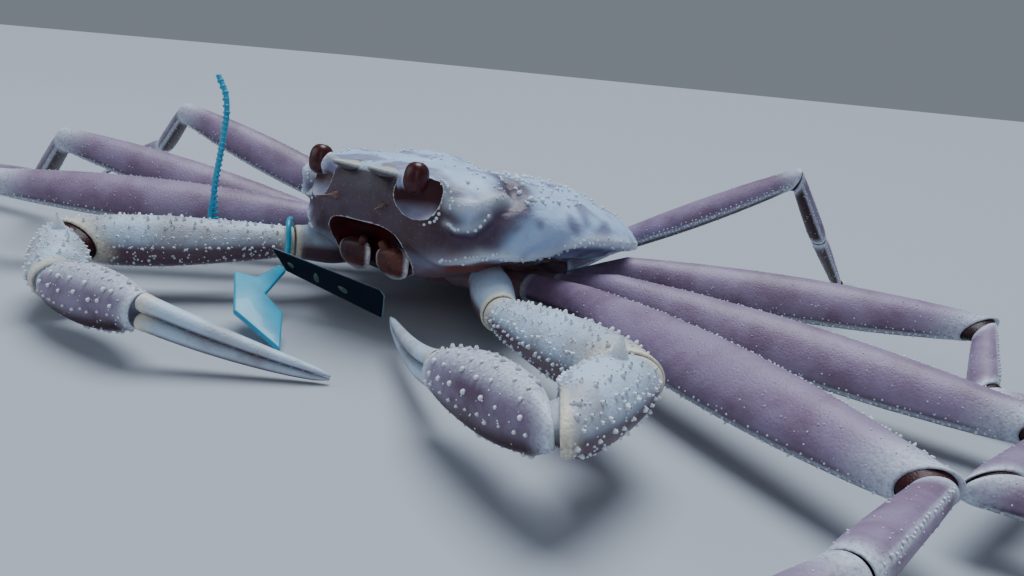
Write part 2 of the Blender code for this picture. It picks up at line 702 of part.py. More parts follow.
def tube(name, places, radius, material, group):
    """A round strap through hand-set places."""
    curve = bpy.data.curves.new(name, "CURVE")
    curve.dimensions = "3D"
    spline = curve.splines.new("BEZIER")
    spline.bezier_points.add(len(places) - 1)
    for point, place in zip(spline.bezier_points, places):
        point.co = Vector(place) * MM
        point.handle_left_type = point.handle_right_type = "AUTO"
    curve.resolution_u = 4
    curve.bevel_depth = radius * MM
    curve.bevel_resolution = 1
    curve.use_fill_caps = True
    strap = bpy.data.objects.new(name + "_path", curve)
    group.objects.link(strap)
    bpy.context.view_layer.update()
    mesh = bpy.data.meshes.new_from_object(strap.evaluated_get(bpy.context.evaluated_depsgraph_get()))
    bpy.data.objects.remove(strap, do_unlink=True)
    solid = bmesh.new()
    solid.from_mesh(mesh)
    bmesh.ops.remove_doubles(solid, verts=solid.verts, dist=0.00001)
    solid.transform(Matrix.Scale(1 / MM, 4))
    return add_object(name, solid, material, group, Matrix.Translation(places[0]))


def slab(name, outline, thickness, frame, material, group):
    """A flat sheet with the outline given in its own plane."""
    rings = [[frame @ Vector((x, y, z)) for x, y in outline] for z in (-thickness / 2, thickness / 2)]
    return add_object(name, loft(rings), material, group, frame)


def plane_frame(origin, along, other):
    """A frame at the origin whose X axis runs along the first direction, in the plane of both."""
    first = (Vector(along) - Vector(origin)).normalized()
    normal = first.cross(Vector(other) - Vector(origin)).normalized()
    turned = Matrix((first, normal.cross(first), normal)).transposed().to_4x4()
    return Matrix.Translation(origin) @ turned


def build_tag(looks, group):
    tube("tag_tie", TIE_PATH, TIE_RADIUS, looks["tag"], group)
    slab("tag_head", HEAD_OUTLINE, HEAD_THICKNESS, plane_frame(*HEAD_PLANE), looks["tag"], group)
    slab("tag_plate", PLATE_OUTLINE, PLATE_THICKNESS, plane_frame(*PLATE_PLANE), looks["plate"], group)


def stand_on_origin(group):
    """Moves the model so that the origin is on the floor, under the middle of its spread."""
    bpy.context.view_layer.update()
    corners = [thing.matrix_world @ vert.co for thing in group.objects for vert in thing.data.vertices]
    for axis in (0, 1):
        places = [corner[axis] for corner in corners]
        middle = (min(places) + max(places)) / 2
        print("middle of the spread along axis", axis, round(middle, 5))
        for thing in group.objects:
            thing.location[axis] -= middle


def main():
    clear_scene()
    group = new_collection("snow_crab")
    helpers = new_collection("helpers", helper=True)
    looks = {
        "shell": new_material("carapace_shell", SHELL_COLOR, 0.35),
        "leg": new_material("leg_shell", LEG_COLOR, 0.42),
        "arm": new_material("claw_shell", ARM_COLOR, 0.42),
        "belly": new_material("under_shell", MOUTH_COLOR, 0.5),
        "eye": new_material("eye", EYE_COLOR, 0.08),
        "tag": new_material("tag_plastic", TAG_COLOR, 0.4),
        "plate": new_material("tag_plate", PLATE_COLOR, 0.3),
    }
    build_carapace(looks, group, helpers)
    build_thorax(looks, group, helpers)
    build_abdomen(looks, group)
    for side in ("left", "right"):
        build_eye(side, looks, group)
        build_antenna(side, looks, group)
        build_maxilliped(side, looks, group, helpers)
        build_claw_arm(side, looks, group, helpers)
        for pair in LEG_WIDTH:
            build_leg(side, pair, looks, group, helpers)
    build_tag(looks, group)
    stand_on_origin(group)


main()
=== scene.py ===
# Snow crab, a still model at life size, dressed over its fixed frame.
# Sizes in the settings are in millimetres unless a note says metres.
import json
import math
import random

import bmesh
import bpy
import numpy as np
from mathutils import Matrix, Vector, noise

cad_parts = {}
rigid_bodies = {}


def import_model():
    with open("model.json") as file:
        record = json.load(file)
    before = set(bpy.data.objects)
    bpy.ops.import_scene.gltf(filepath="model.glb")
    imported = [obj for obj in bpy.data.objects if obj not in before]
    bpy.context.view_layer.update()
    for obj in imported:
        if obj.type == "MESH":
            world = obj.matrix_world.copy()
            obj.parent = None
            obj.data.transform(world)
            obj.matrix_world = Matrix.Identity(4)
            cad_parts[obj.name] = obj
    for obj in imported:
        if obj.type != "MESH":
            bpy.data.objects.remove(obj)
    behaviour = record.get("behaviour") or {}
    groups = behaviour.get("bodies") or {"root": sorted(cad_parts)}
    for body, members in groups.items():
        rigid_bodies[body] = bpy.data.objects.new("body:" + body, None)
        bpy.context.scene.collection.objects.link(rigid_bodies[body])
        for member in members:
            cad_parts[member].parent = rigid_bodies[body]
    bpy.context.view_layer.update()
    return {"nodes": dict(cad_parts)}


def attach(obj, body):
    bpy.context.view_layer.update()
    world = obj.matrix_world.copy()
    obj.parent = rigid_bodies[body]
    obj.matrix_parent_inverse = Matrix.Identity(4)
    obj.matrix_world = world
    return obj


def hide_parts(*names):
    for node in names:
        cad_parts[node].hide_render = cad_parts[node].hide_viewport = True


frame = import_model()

placeSettings = {"shift": (5.89, 30.33, 0), "bodyHeight": 34.6, "bodyPitch": 11.5, "unit": 0.001}


def toMetres(point):
    return (Vector(point) + Vector(placeSettings["shift"])) * placeSettings["unit"]


def bodyFrame():
    turn = Matrix.Rotation(math.radians(-placeSettings["bodyPitch"]), 4, "X")
    return Matrix.Translation((0, 0, placeSettings["bodyHeight"])) @ turn


def sideSign(side):
    return 1 if side == "left" else -1


def smoothStep(low, high, value):
    share = min(max((value - low) / (high - low), 0), 1)
    return share * share * (3 - 2 * share)


def smoothBetween(stations, at):  # a smooth curve through named stations
    last = len(stations) - 1
    here = max(i for i in range(last) if stations[i][0] <= at or i == 0)
    before, start, end = stations[max(here - 1, 0)], stations[here], stations[here + 1]
    after = stations[min(here + 2, last)]
    span = end[0] - start[0]
    t = min(max((at - start[0]) / span, 0), 1)
    values = []
    for k in range(1, len(start)):
        slopeIn = (end[k] - before[k]) / (end[0] - before[0]) * span
        slopeOut = (after[k] - start[k]) / (after[0] - start[0]) * span
        values.append(
            start[k] * (2 * t**3 - 3 * t**2 + 1) + slopeIn * (t**3 - 2 * t**2 + t)
            + end[k] * (3 * t**2 - 2 * t**3) + slopeOut * (t**3 - t**2)
        )
    return values


# Camera, floor and light

cameraSettings = {
    "place": (175.6, -239.0, 90.1), "lens": 27.04, "sensor": 36,
    "right": (0.8253, 0.5573, 0.091), "up": (-0.2275, 0.1806, 0.9569), "back": (0.5168, -0.8104, 0.2759),
}


def placeCamera(settings):
    lensData = bpy.data.cameras.new("photoCamera")
    lensData.lens = settings["lens"]
    lensData.sensor_width = settings["sensor"]
    lensData.clip_start = 0.005
    camera = bpy.data.objects.new("photoCamera", lensData)
    turn = Matrix((settings["right"], settings["up"], settings["back"])).transposed()
    camera.matrix_world = Matrix.Translation(toMetres(settings["place"])) @ turn.to_4x4()
    bpy.context.scene.collection.objects.link(camera)
    bpy.context.scene.camera = camera


lightSettings = {  # places and sizes in metres
    "top": {"place": (-0.15, 0.35, 1.1), "aim": (0, 0, 0), "angle": 0.7, "power": 3.3, "color": (0.86, 0.93, 1)},
    "side": {"place": (-0.9, -0.7, 0.6), "aim": (0, 0, 0.03), "size": 0.8, "power": 2.2, "color": (0.86, 0.92, 1)},
    "front": {"place": (0.9, -1.1, 0.7), "aim": (0, 0, 0.03), "size": 1.0, "power": 1.8, "color": (1, 0.97, 0.94)},
    "floorColor": (0.42, 0.455, 0.51), "floorReach": 12, "airColor": (0.6, 0.68, 0.8), "airStrength": 0.3,
}


def lightStudio(settings):
    for name in ("top", "side", "front"):
        one = settings[name]
        lamp = bpy.data.lights.new(name + "Light", "SUN" if "angle" in one else "AREA")
        if "angle" in one:
            lamp.angle = one["angle"]
        else:
            lamp.shape = "DISK"
            lamp.size = one["size"]
        lamp.energy = one["power"]
        lamp.color = one["color"]
        lampObject = bpy.data.objects.new(name + "Light", lamp)
        lampObject.location = one["place"]
        aim = Vector(one["aim"]) - Vector(one["place"])
        lampObject.rotation_euler = aim.to_track_quat("-Z", "Y").to_euler()
        bpy.context.scene.collection.objects.link(lampObject)
    world = bpy.data.worlds.new("softAir")
    world.use_nodes = True
    air = world.node_tree.nodes["Background"]
    air.inputs["Color"].default_value = (*settings["airColor"], 1)
    air.inputs["Strength"].default_value = settings["airStrength"]
    bpy.context.scene.world = world
    floorMesh = bpy.data.meshes.new("floor")
    reach = settings["floorReach"]
    corners = [(reach * x, reach * y, 0) for x, y in ((-1, -1), (1, -1), (1, 1), (-1, 1))]
    floorMesh.from_pydata(corners, [], [(0, 1, 2, 3)])
    floorFinish = bpy.data.materials.new("paleFloor")
    floorFinish.use_nodes = True
    shader = floorFinish.node_tree.nodes["Principled BSDF"]
    shader.inputs["Base Color"].default_value = (*settings["floorColor"], 1)
    shader.inputs["Roughness"].default_value = 0.8
    floorMesh.materials.append(floorFinish)
    floorObject = bpy.data.objects.new("floor", floorMesh)
    bpy.context.scene.collection.objects.link(floorObject)


placeCamera(cameraSettings)
lightStudio(lightSettings)
print("camera, floor and light are placed")


# Shared shader effect: tones of a living shell, with painted shade on its underside, from its masks and fine noise

def feed(tree, node, inputs):  # each input takes another node's output or a plain value
    for socket, value in inputs.items():
        if isinstance(value, bpy.types.NodeSocket):
            tree.links.new(value, node.inputs[socket])
        else:
            node.inputs[socket].default_value = value


def addNode(tree, kind, inputs=None, **values):
    made = tree.nodes.new(kind)
    for name, value in values.items():
        setattr(made, name, value)
    feed(tree, made, inputs or {})
    return made


def combine(tree, operation, first, second):
    return addNode(tree, "ShaderNodeMath", {0: first, 1: second}, operation=operation).outputs[0]


def mixColors(tree, mask, first, second):
    first, second = ((*value, 1) if isinstance(value, tuple) else value for value in (first, second))
    return addNode(tree, "ShaderNodeMix", {"Factor": mask, 6: first, 7: second}, data_type="RGBA").outputs[2]


def spread(tree, value, low, high):  # maps low..high to 0..1
    return addNode(tree, "ShaderNodeMapRange", {"Value": value, "From Min": low, "From Max": high}).outputs["Result"]


def openTree(name, kind, inputs, outputs):  # a node group with its sockets
    tree = bpy.data.node_groups.new(name, kind)
    for way, table in (("INPUT", inputs), ("OUTPUT", outputs)):
        for socketType, names in table:
            for socketName in names:
                tree.interface.new_socket(socketName, in_out=way, socket_type="NodeSocket" + socketType)
    return tree, addNode(tree, "NodeGroupInput").outputs, addNode(tree, "NodeGroupOutput")


def buildShellTones():
    inputs = (
        ("Color", ("Main Tone", "Patch Tone", "Edge Tone", "Underside Tone And Shade", "Nub Tone")),
        ("Float", ("Edge Mask", "Underside Shade Mask", "Nub Mask", "Patch Scale", "Grain Scale", "Patch Share")),
    )
    outputs = (("Color", ("Color",)), ("Float", ("Roughness", "Height")))
    group, given, result = openTree("shellTones", "ShaderNodeTree", inputs, outputs)
    place = addNode(group, "ShaderNodeTexCoord").outputs["Object"]

    def cloud(scale, detail, roughness):
        sockets = {"Vector": place, "Scale": given[scale], "Detail": detail, "Roughness": roughness}
        return addNode(group, "ShaderNodeTexNoise", sockets).outputs["Fac"]

    patches, grain = cloud("Patch Scale", 4, 0.6), cloud("Grain Scale", 6, 0.7)
    patchMask = combine(group, "MULTIPLY", spread(group, patches, 0.42, 0.62), given["Patch Share"])
    tone = mixColors(group, patchMask, given["Main Tone"], given["Patch Tone"])
    # the underside tone: partly the shell's own colour, partly painted shade
    tone = mixColors(group, given["Underside Shade Mask"], tone, given["Underside Tone And Shade"])
    brokenEdge = combine(group, "MULTIPLY", given["Edge Mask"], spread(group, grain, 0.2, 0.55))
    tone = mixColors(group, brokenEdge, tone, given["Edge Tone"])
    tone = mixColors(group, given["Nub Mask"], tone, given["Nub Tone"])
    flecks = combine(group, "MULTIPLY", spread(group, grain, 0.58, 0.75), 0.15)
    tone = mixColors(group, flecks, tone, given["Edge Tone"])
    rough = addNode(group, "ShaderNodeMapRange", {"Value": grain, "To Min": 0.28, "To Max": 0.62})
    pits = addNode(group, "ShaderNodeTexVoronoi", {"Vector": place, "Scale": given["Grain Scale"]})
    height = combine(group, "ADD", grain, spread(group, pits.outputs["Distance"], 0, 0.5))
    feed(group, result, {"Color": tone, "Roughness": rough.outputs["Result"], "Height": height})
    return group


shellTones = buildShellTones()
toneSockets = (
    "Main Tone", "Patch Tone", "Edge Tone", "Underside Tone And Shade", "Nub Tone", "Patch Scale", "Grain Scale", "Patch Share",
)
finishSettings = {  # values for the tone sockets in their order, then the coat's weight and the bump's strength
    "carapaceShell": (
        (0.5, 0.66, 0.9), (0.17, 0.12, 0.23), (0.8, 0.88, 0.98), (0.1, 0.04, 0.06), (0.82, 0.92, 1),
        38, 900, 0.8, 0.12, 0.25,
    ),
    "legShell": (
        (0.3, 0.225, 0.36), (0.19, 0.115, 0.19), (0.62, 0.68, 0.8), (0.035, 0.006, 0.012), (0.75, 0.82, 0.95),
        60, 1100, 0.8, 0.12, 0.25,
    ),
    "clawShell": (
        (0.56, 0.72, 0.9), (0.33, 0.25, 0.22), (0.82, 0.78, 0.64), (0.12, 0.065, 0.09), (0.88, 0.94, 1),
        60, 1000, 0.6, 0.12, 0.3,
    ),
    "palmShell": (
        (0.27, 0.22, 0.34), (0.11, 0.05, 0.1), (0.66, 0.74, 0.86), (0.04, 0.01, 0.02), (0.9, 0.94, 1),
        50, 1000, 0.9, 0.12, 0.25,
    ),
    "underShell": (
        (0.3, 0.2, 0.23), (0.16, 0.06, 0.07), (0.75, 0.72, 0.72), (0.25, 0.15, 0.16), (0.8, 0.8, 0.82),
        60, 900, 0.8, 0.1, 0.25,
    ),
    "mouthPlate": (
        (0.06, 0.018, 0.022), (0.17, 0.045, 0.025), (0.8, 0.82, 0.86), (0.09, 0.03, 0.035), (0.8, 0.8, 0.82),
        90, 900, 0.8, 0.15, 0.2,
    ),
    "joinSkin": (
        (0.05, 0.007, 0.01), (0.015, 0.003, 0.004), (0.25, 0.09, 0.08), (0.015, 0.003, 0.004), (0.3, 0.1, 0.1),
        120, 1500, 0.9, 0.2, 0.4,
    ),
}


def newFinish(name):  # with its tree and its shader
    made = bpy.data.materials.new(name)
    made.use_nodes = True
    return made, made.node_tree, made.node_tree.nodes["Principled BSDF"]


def bumpFrom(tree, height, strength, distance):
    inputs = {"Strength": strength, "Distance": distance, "Height": height}
    return addNode(tree, "ShaderNodeBump", inputs).outputs["Normal"]


def shellFinish(name, settings):
    made, tree, shader = newFinish(name)
    *values, coat, bump = settings
    sockets = {key: (*value, 1) if isinstance(value, tuple) else value for key, value in zip(toneSockets, values)}
    for socket, layer in (("Edge Mask", "edge"), ("Underside Shade Mask", "low"), ("Nub Mask", "nub")):
        sockets[socket] = addNode(tree, "ShaderNodeAttribute", attribute_name=layer).outputs["Fac"]
    tones = addNode(tree, "ShaderNodeGroup", sockets, node_tree=shellTones).outputs
    feed(tree, shader, {
        "Base Color": tones["Color"], "Roughness": tones["Roughness"],
        "Normal": bumpFrom(tree, tones["Height"], bump, 0.0004),
        "Coat Weight": coat, "Coat Roughness": 0.25, "Specular IOR Level": 0.3,
    })
    return made


def plainFinish(name, color, second, roughness, coat, grainScale, shine=0.5):
    made, tree, shader = newFinish(name)
    place = addNode(tree, "ShaderNodeTexCoord").outputs["Object"]
    inputs = {"Vector": place, "Scale": grainScale, "Detail": 5}
    cloud = addNode(tree, "ShaderNodeTexNoise", inputs).outputs["Fac"]
    feed(tree, shader, {
        "Base Color": mixColors(tree, spread(tree, cloud, 0.35, 0.68), color, second),
        "Normal": bumpFrom(tree, cloud, 0.2, 0.0003),
        "Roughness": roughness, "Coat Weight": coat, "Specular IOR Level": shine,
    })
    return made


def fadeUpwards(made, color, low, high):  # the finish turns to another colour between two heights in metres
    tree = made.node_tree
    shader = tree.nodes["Principled BSDF"]
    lower = shader.inputs["Base Color"].links[0].from_socket
    where = next(node for node in tree.nodes if node.type == "TEX_COORD")
    parts = addNode(tree, "ShaderNodeSeparateXYZ", {0: where.outputs["Object"]})
    mask = spread(tree, parts.outputs["Z"], low, high)
    feed(tree, shader, {"Base Color": mixColors(tree, mask, lower, color)})
    return made


def tonedFinish(name, settings, patchShare):  # as shellFinish, with the main tone read from the piece
    made = shellFinish(name, settings)
    tree = made.node_tree
    tones = next(node for node in tree.nodes if node.type == "GROUP")
    painted = addNode(tree, "ShaderNodeAttribute", attribute_name="tone")
    feed(tree, tones, {"Main Tone": painted.outputs["Color"], "Patch Share": patchShare})
    return made


finishes = {name: shellFinish(name, settings) for name, settings in finishSettings.items()}
print("shell finishes are made")


# Making pieces

def fineLoft(rings):  # points and faces of a closed tube through rings of equal number
    count = len(rings[0])
    points = [p for ring in rings for p in ring]
    faces = []
    for row in range(len(rings) - 1):
        for k in range(count):
            one, two = row * count + k, row * count + (k - 1) % count
            faces.append((one, two, two + count, one + count))
    faces.append(tuple(range(count)))
    last = (len(rings) - 1) * count
    faces.append(tuple(range(last + count - 1, last - 1, -1)))
    return points, faces


def bodyPoint(place):
    return bodyFrame() @ Vector(place)


def bodyLoft(rings):  # as fineLoft, from rings in the body's frame
    return fineLoft([[bodyPoint(p) for p in ring] for ring in rings])


def setLayer(mesh, name, values, kind="FLOAT"):
    layer = mesh.attributes.get(name) or mesh.attributes.new(name, kind, "POINT")
    if kind == "FLOAT":
        layer.data.foreach_set("value", values)
    else:
        layer.data.foreach_set("vector", [part for value in values for part in value])


def makePiece(name, points, faces, finish, edges=None):
    mesh = bpy.data.meshes.new(name)
    mesh.from_pydata([toMetres(p) for p in points], [], faces)
    solid = bmesh.new()
    solid.from_mesh(mesh)
    bmesh.ops.recalc_face_normals(solid, faces=solid.faces)
    solid.to_mesh(mesh)
    solid.free()
    mesh.shade_smooth()
    mesh.materials.append(finish)
    setLayer(mesh, "edge", edges or [0.0] * len(points))
    # faces turned down get the darker underside tone: partly the shell's own colour, partly painted shade
    setLayer(mesh, "low", [smoothStep(0.05, 0.75, -normal.vector.z) for normal in mesh.vertex_normals])
    setLayer(mesh, "nub", [0.0] * len(points))
    piece = bpy.data.objects.new(name, mesh)
    bpy.context.scene.collection.objects.link(piece)
    return piece


def settle(piece):  # the piece keeps what its modifiers make
    bpy.context.view_layer.update()
    made = bpy.data.meshes.new_from_object(piece.evaluated_get(bpy.context.evaluated_depsgraph_get()))
    piece.modifiers.clear()
    piece.data = made


def joinInto(piece, others):
    solid = bmesh.new()
    for one in (piece, *others):
        solid.from_mesh(one.data)
    solid.to_mesh(piece.data)
    solid.free()
    for other in others:
        bpy.data.objects.remove(other, do_unlink=True)


def dress(piece, slotName, *nodes):  # the piece rides and stands for its nodes
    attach(piece, "root")
    if nodes:
        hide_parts(*nodes)


# Geometry Nodes tree for spines and beads: it grows a nub on each loose root point of a piece

def buildNubTree():
    inputs = (
        ("Geometry", ("Geometry",)), ("Float", ("Height", "Width", "Tip Width", "Root Depth")),
        ("Int", ("Sides",)), ("Bool", ("Round",)), ("Material", ("Finish",)),
    )
    tree, given, result = openTree("growNubs", "GeometryNodeTree", inputs, (("Geometry", ("Geometry",)),))

    def layer(name, kind):
        return addNode(tree, "GeometryNodeInputNamedAttribute", {"Name": name}, data_type=kind).outputs["Attribute"]

    size = layer("rootSize", "FLOAT")
    isRoot = addNode(tree, "FunctionNodeCompare", {0: size, 1: 0.001}, data_type="FLOAT", operation="GREATER_THAN")
    inputs = {"Geometry": given["Geometry"], "Selection": isRoot.outputs["Result"]}
    parted = addNode(tree, "GeometryNodeSeparateGeometry", inputs, domain="POINT")
    cone = addNode(tree, "GeometryNodeMeshCone", {
        "Side Segments": 4, "Vertices": given["Sides"], "Radius Top": given["Tip Width"],
        "Radius Bottom": given["Width"], "Depth": combine(tree, "ADD", given["Height"], given["Root Depth"]),
    }, fill_type="NONE")
    shift = addNode(tree, "ShaderNodeCombineXYZ", {"Z": combine(tree, "MULTIPLY", given["Root Depth"], -1)})
    inputs = {"Geometry": cone.outputs["Mesh"], "Translation": shift.outputs["Vector"]}
    coneHere = addNode(tree, "GeometryNodeTransform", inputs)
    ball = addNode(tree, "GeometryNodeMeshUVSphere", {"Rings": 6, "Segments": given["Sides"]})
    ballSize = addNode(tree, "ShaderNodeCombineXYZ", {"X": given["Width"], "Y": given["Width"], "Z": given["Height"]})
    inputs = {"Geometry": ball.outputs["Mesh"], "Scale": ballSize.outputs["Vector"]}
    ballHere = addNode(tree, "GeometryNodeTransform", inputs)
    choice = addNode(tree, "GeometryNodeSwitch", {
        "Switch": given["Round"], "False": coneHere.outputs["Geometry"], "True": ballHere.outputs["Geometry"],
    }, input_type="GEOMETRY")
    place = addNode(tree, "GeometryNodeInputPosition")
    parts = addNode(tree, "ShaderNodeSeparateXYZ", {"Vector": place.outputs["Position"]})
    rise = combine(tree, "DIVIDE", parts.outputs["Z"], given["Height"])
    inputs = {"Name": "nub", "Geometry": choice.outputs["Output"], "Value": spread(tree, rise, -0.1, 0.6)}
    stored = addNode(tree, "GeometryNodeStoreNamedAttribute", inputs, data_type="FLOAT", domain="POINT")
    soft = addNode(tree, "GeometryNodeSetShadeSmooth", {"Geometry": stored.outputs["Geometry"]})
    inputs = {"Vector": layer("outward", "FLOAT_VECTOR")}
    turned = addNode(tree, "FunctionNodeAlignRotationToVector", inputs, axis="Z")
    placed = addNode(tree, "GeometryNodeInstanceOnPoints", {
        "Points": parted.outputs["Selection"], "Instance": soft.outputs["Geometry"],
        "Rotation": turned.outputs["Rotation"], "Scale": size,
    })
    joined = addNode(tree, "GeometryNodeJoinGeometry", {"Geometry": parted.outputs["Inverted"]})
    feed(tree, joined, {"Geometry": placed.outputs["Instances"]})
    real = addNode(tree, "GeometryNodeRealizeInstances", {"Geometry": joined.outputs["Geometry"]})
    inputs = {"Geometry": real.outputs["Geometry"], "Material": given["Finish"]}
    painted = addNode(tree, "GeometryNodeSetMaterial", inputs)
    feed(tree, result, {"Geometry": painted.outputs["Geometry"]})
    return tree


nubTree = buildNubTree()


def growNubs(piece, roots, settings, finish):  # roots: place in mm, outward direction, size
    if not roots:
        return
    mesh = piece.data
    start = len(mesh.vertices)
    mesh.vertices.add(len(roots))
    for vert, (place, outward, size) in zip(list(mesh.vertices)[start:], roots):
        vert.co = toMetres(place)
    setLayer(mesh, "rootSize", [0.0] * start + [size for _, _, size in roots])
    blank = (0.0, 0.0, 1.0)
    setLayer(mesh, "outward", [blank] * start + [tuple(outward) for _, outward, _ in roots], "FLOAT_VECTOR")
    modifier = piece.modifiers.new("nubs", "NODES")
    modifier.node_group = nubTree
    unit = placeSettings["unit"]
    values = {
        "Height": settings["height"] * unit, "Width": settings["width"] * unit,
        "Tip Width": settings["tip"] * unit, "Root Depth": settings["root"] * unit,
        "Sides": settings["sides"], "Round": settings["round"], "Finish": finish,
    }
    for socket in nubTree.interface.items_tree:
        if socket.in_out == "INPUT" and socket.name in values:
            modifier[socket.identifier] = values[socket.name]
    settle(piece)
    layers = piece.data.attributes
    for name in ("rootSize", "outward"):
        if name in layers:
            layers.remove(layers[name])


# Limbs: the same joints, outlines and headings as the solids, with rims, wedges and finer rings

class Stretch:
    def __init__(self, start, end, outline, width, thickness, lean, bow=0.0, side=0):
        self.start, self.end = Vector(start), Vector(end)
        self.along = (self.end - self.start).normalized()
        level = Vector((0, 0, 1)).cross(self.along).normalized()
        rise = self.along.cross(level)
        angle = math.radians(lean)
        self.broad = level * math.cos(angle) + rise * math.sin(angle)
        self.flat = self.along.cross(self.broad)
        self.outline, self.width, self.thickness = outline, width, thickness
        self.bow, self.side = bow, side
        self.startPlane = self.endPlane = None
        self.startOpening = self.endOpening = None

    def section(self, t, angle, sizes):
        half = 0.5 * self.width * sizes[0]
        across = self.broad * (half * math.cos(angle) + self.side * (half + 0.15))
        over = self.flat * 0.5 * self.thickness * sizes[1] * math.sin(angle)
        return self.start.lerp(self.end, t) - self.broad * self.bow * 4 * t * (1 - t) + across + over

    def endShift(self, place, plane, opening, sign):
        if not plane:
            return Vector()
        centre, normal = plane
        shift = self.along * ((centre - place).dot(normal) / self.along.dot(normal))
        if opening:
            inside, depth, reach = opening
            shift -= self.along * sign * depth * smoothStep(-0.6 * reach, reach, (place - centre).dot(inside))
        return shift

    def skin(self, t, angle, sizes, ends):  # a place on the skin, drawn out or in to the two cut ends
        begin = self.endShift(self.section(0, angle, ends[0]), self.startPlane, self.startOpening, -1)
        finish = self.endShift(self.section(1, angle, ends[1]), self.endPlane, self.endOpening, 1)
        return self.section(t, angle, sizes) + begin * (1 - t) + finish * t

    def ring(self, t, sides, scale=1.0, push=0.0):
        sizes, *ends = (smoothBetween(self.outline, at) for at in (t, 0, 1))
        made = [self.skin(t, math.tau * k / sides, sizes, ends) for k in range(sides)]
        if scale != 1 or push:
            middle = sum(made, Vector()) / sides
            made = [middle + (p - middle) * scale + self.along * push for p in made]
        return made

    def surface(self, t, angle):  # a place on the skin and the direction out of it
        sizes, *ends = (smoothBetween(self.outline, at) for at in (t, 0, 1))
        slope = self.broad * math.cos(angle) / (self.width * sizes[0])
        slope += self.flat * math.sin(angle) / (self.thickness * sizes[1])
        return self.skin(t, angle, sizes, ends), slope.normalized()


limbSettings = {
    # each pair's hip on the left in the body's frame: x, y, z
    "hips": {1: (30, -24, -21), 2: (38, -8, -22), 3: (40, 8, -21), 4: (36, 24, -20), 5: (27, 36, -15)},
    # length, heading from +X, height of the far joint
    "joints": {
        ("left", 1): ((27, -44, 15), (73, -31, 23), (32, -92, 22.5), (48, 158, 16), (54, 145, 11)),
        ("right", 1): ((26, -115, 21), (75, -132, 19), (32, -35, 13), (48, 0, 16), (55, 31, 2)),
        ("left", 2): ((28, -16, 17), (125, -28, 18), (50, -99, 23), (71, -120, 12), (49, -123, 0)),
        ("right", 2): ((26, -140, 24), (119, -141, 30), (49, -171, 17), (74, -141, 9), (49, -73, 0)),
        ("left", 3): ((27, -8, 18), (132, -5, 13), (52, -105, 15), (73, 10, 12), (50, 6, 0)),
        ("right", 3): ((27, -151, 17), (122, -151, 43), (52, 167, 18), (79, -173, 15), (50, -121, 0)),
        ("left", 4): ((26, 5, 20), (121, 16, 20), (39, -84, 9), (69, -4, 9), (47, -7, 0)),
        ("right", 4): ((26, -168, 21), (110, -164, 55), (46, 161, 34), (69, 160, 21), (46, -174, 0)),
        ("left", 5): ((24, 71, 20), (81, 11, 59), (34, 70, 34), (46, 84, 9), (32, 50, 0)),
        ("right", 5): ((23, 109, 19), (77, 157, 34), (28, 128, 22), (44, 119, 9), (33, 118, 0)),
    },
    "width": {2: 20, 3: 19, 4: 18, 5: 14}, "thickness": {2: 12, 3: 11.5, 4: 11, 5: 9},
    "lean": {2: 40, 3: 40, 4: 40, 5: 25},
    "outlines": {
        "ischium": ((0, 0.5, 0.85), (0.5, 0.58, 0.9), (1, 0.62, 0.9)),
        "merus": (
            (0, 0.62, 0.9), (0.2, 0.86, 0.97), (0.45, 1, 1), (0.7, 0.92, 0.95), (0.9, 0.7, 0.83), (1, 0.54, 0.7),
        ),
        "carpus": ((0, 0.38, 0.6), (0.2, 0.44, 0.66), (0.6, 0.5, 0.72), (0.88, 0.54, 0.72), (1, 0.46, 0.62)),
        "propodus": ((0, 0.45, 0.64), (0.2, 0.48, 0.66), (0.6, 0.42, 0.56), (1, 0.32, 0.46)),
        "dactyl": ((0, 0.34, 0.46), (0.4, 0.28, 0.38), (0.8, 0.17, 0.24), (1, 0.06, 0.1)),
    },
    "gap": 0.3, "sides": 48, "footCut": 0.97, "openingShare": 0.32, "maxOpening": 4.5, "rimSwell": 1.035,
}
armSettings = {
    "size": 18, "lean": 60, "fingerWidth": 5.2, "fingerThickness": 5.8, "bow": {"left": 3, "right": 1},
    "outlines": {
        "ischium": ((0, 0.7, 0.7), (0.45, 0.84, 0.8), (1, 0.66, 0.64)),
        "merus": ((0, 0.6, 0.6), (0.25, 0.8, 0.78), (0.6, 1, 0.92), (0.88, 0.96, 0.9), (1, 0.76, 0.74)),
        "carpus": ((0, 0.7, 0.7), (0.18, 0.94, 0.9), (0.5, 1.05, 1), (0.82, 0.95, 0.9), (1, 0.62, 0.6)),
        "palm": ((0, 0.5, 0.46), (0.12, 0.84, 0.7), (0.45, 1.05, 0.82), (0.8, 0.88, 0.68), (1, 0.56, 0.5)),
        "finger": ((0, 1, 1), (0.35, 0.85, 0.85), (0.7, 0.6, 0.6), (0.92, 0.35, 0.35), (1, 0.12, 0.12)),
    },
}


def limbJoints(side, pair):
    x, y, z = limbSettings["hips"][pair]
    places = [bodyFrame() @ Vector((sideSign(side) * x, y, z))]
    for length, heading, height in limbSettings["joints"][side, pair]:
        rise = height - places[-1].z
        run = math.sqrt(length**2 - rise**2)
        turn = math.radians(heading)
        places.append(places[-1] + Vector((run * math.cos(turn), run * math.sin(turn), rise)))
    return places


def hipStretch(side, pair):
    x, y, z = limbSettings["hips"][pair]
    sign = sideSign(side)
    inner = bodyFrame() @ Vector((sign * (x - 17), y * 0.8, z))
    size = 11 if pair == 1 else (9.5 if pair < 5 else 8)
    return Stretch(inner, limbJoints(side, pair)[0], ((0, 1, 1), (1, 1, 1)), size, size, 0)


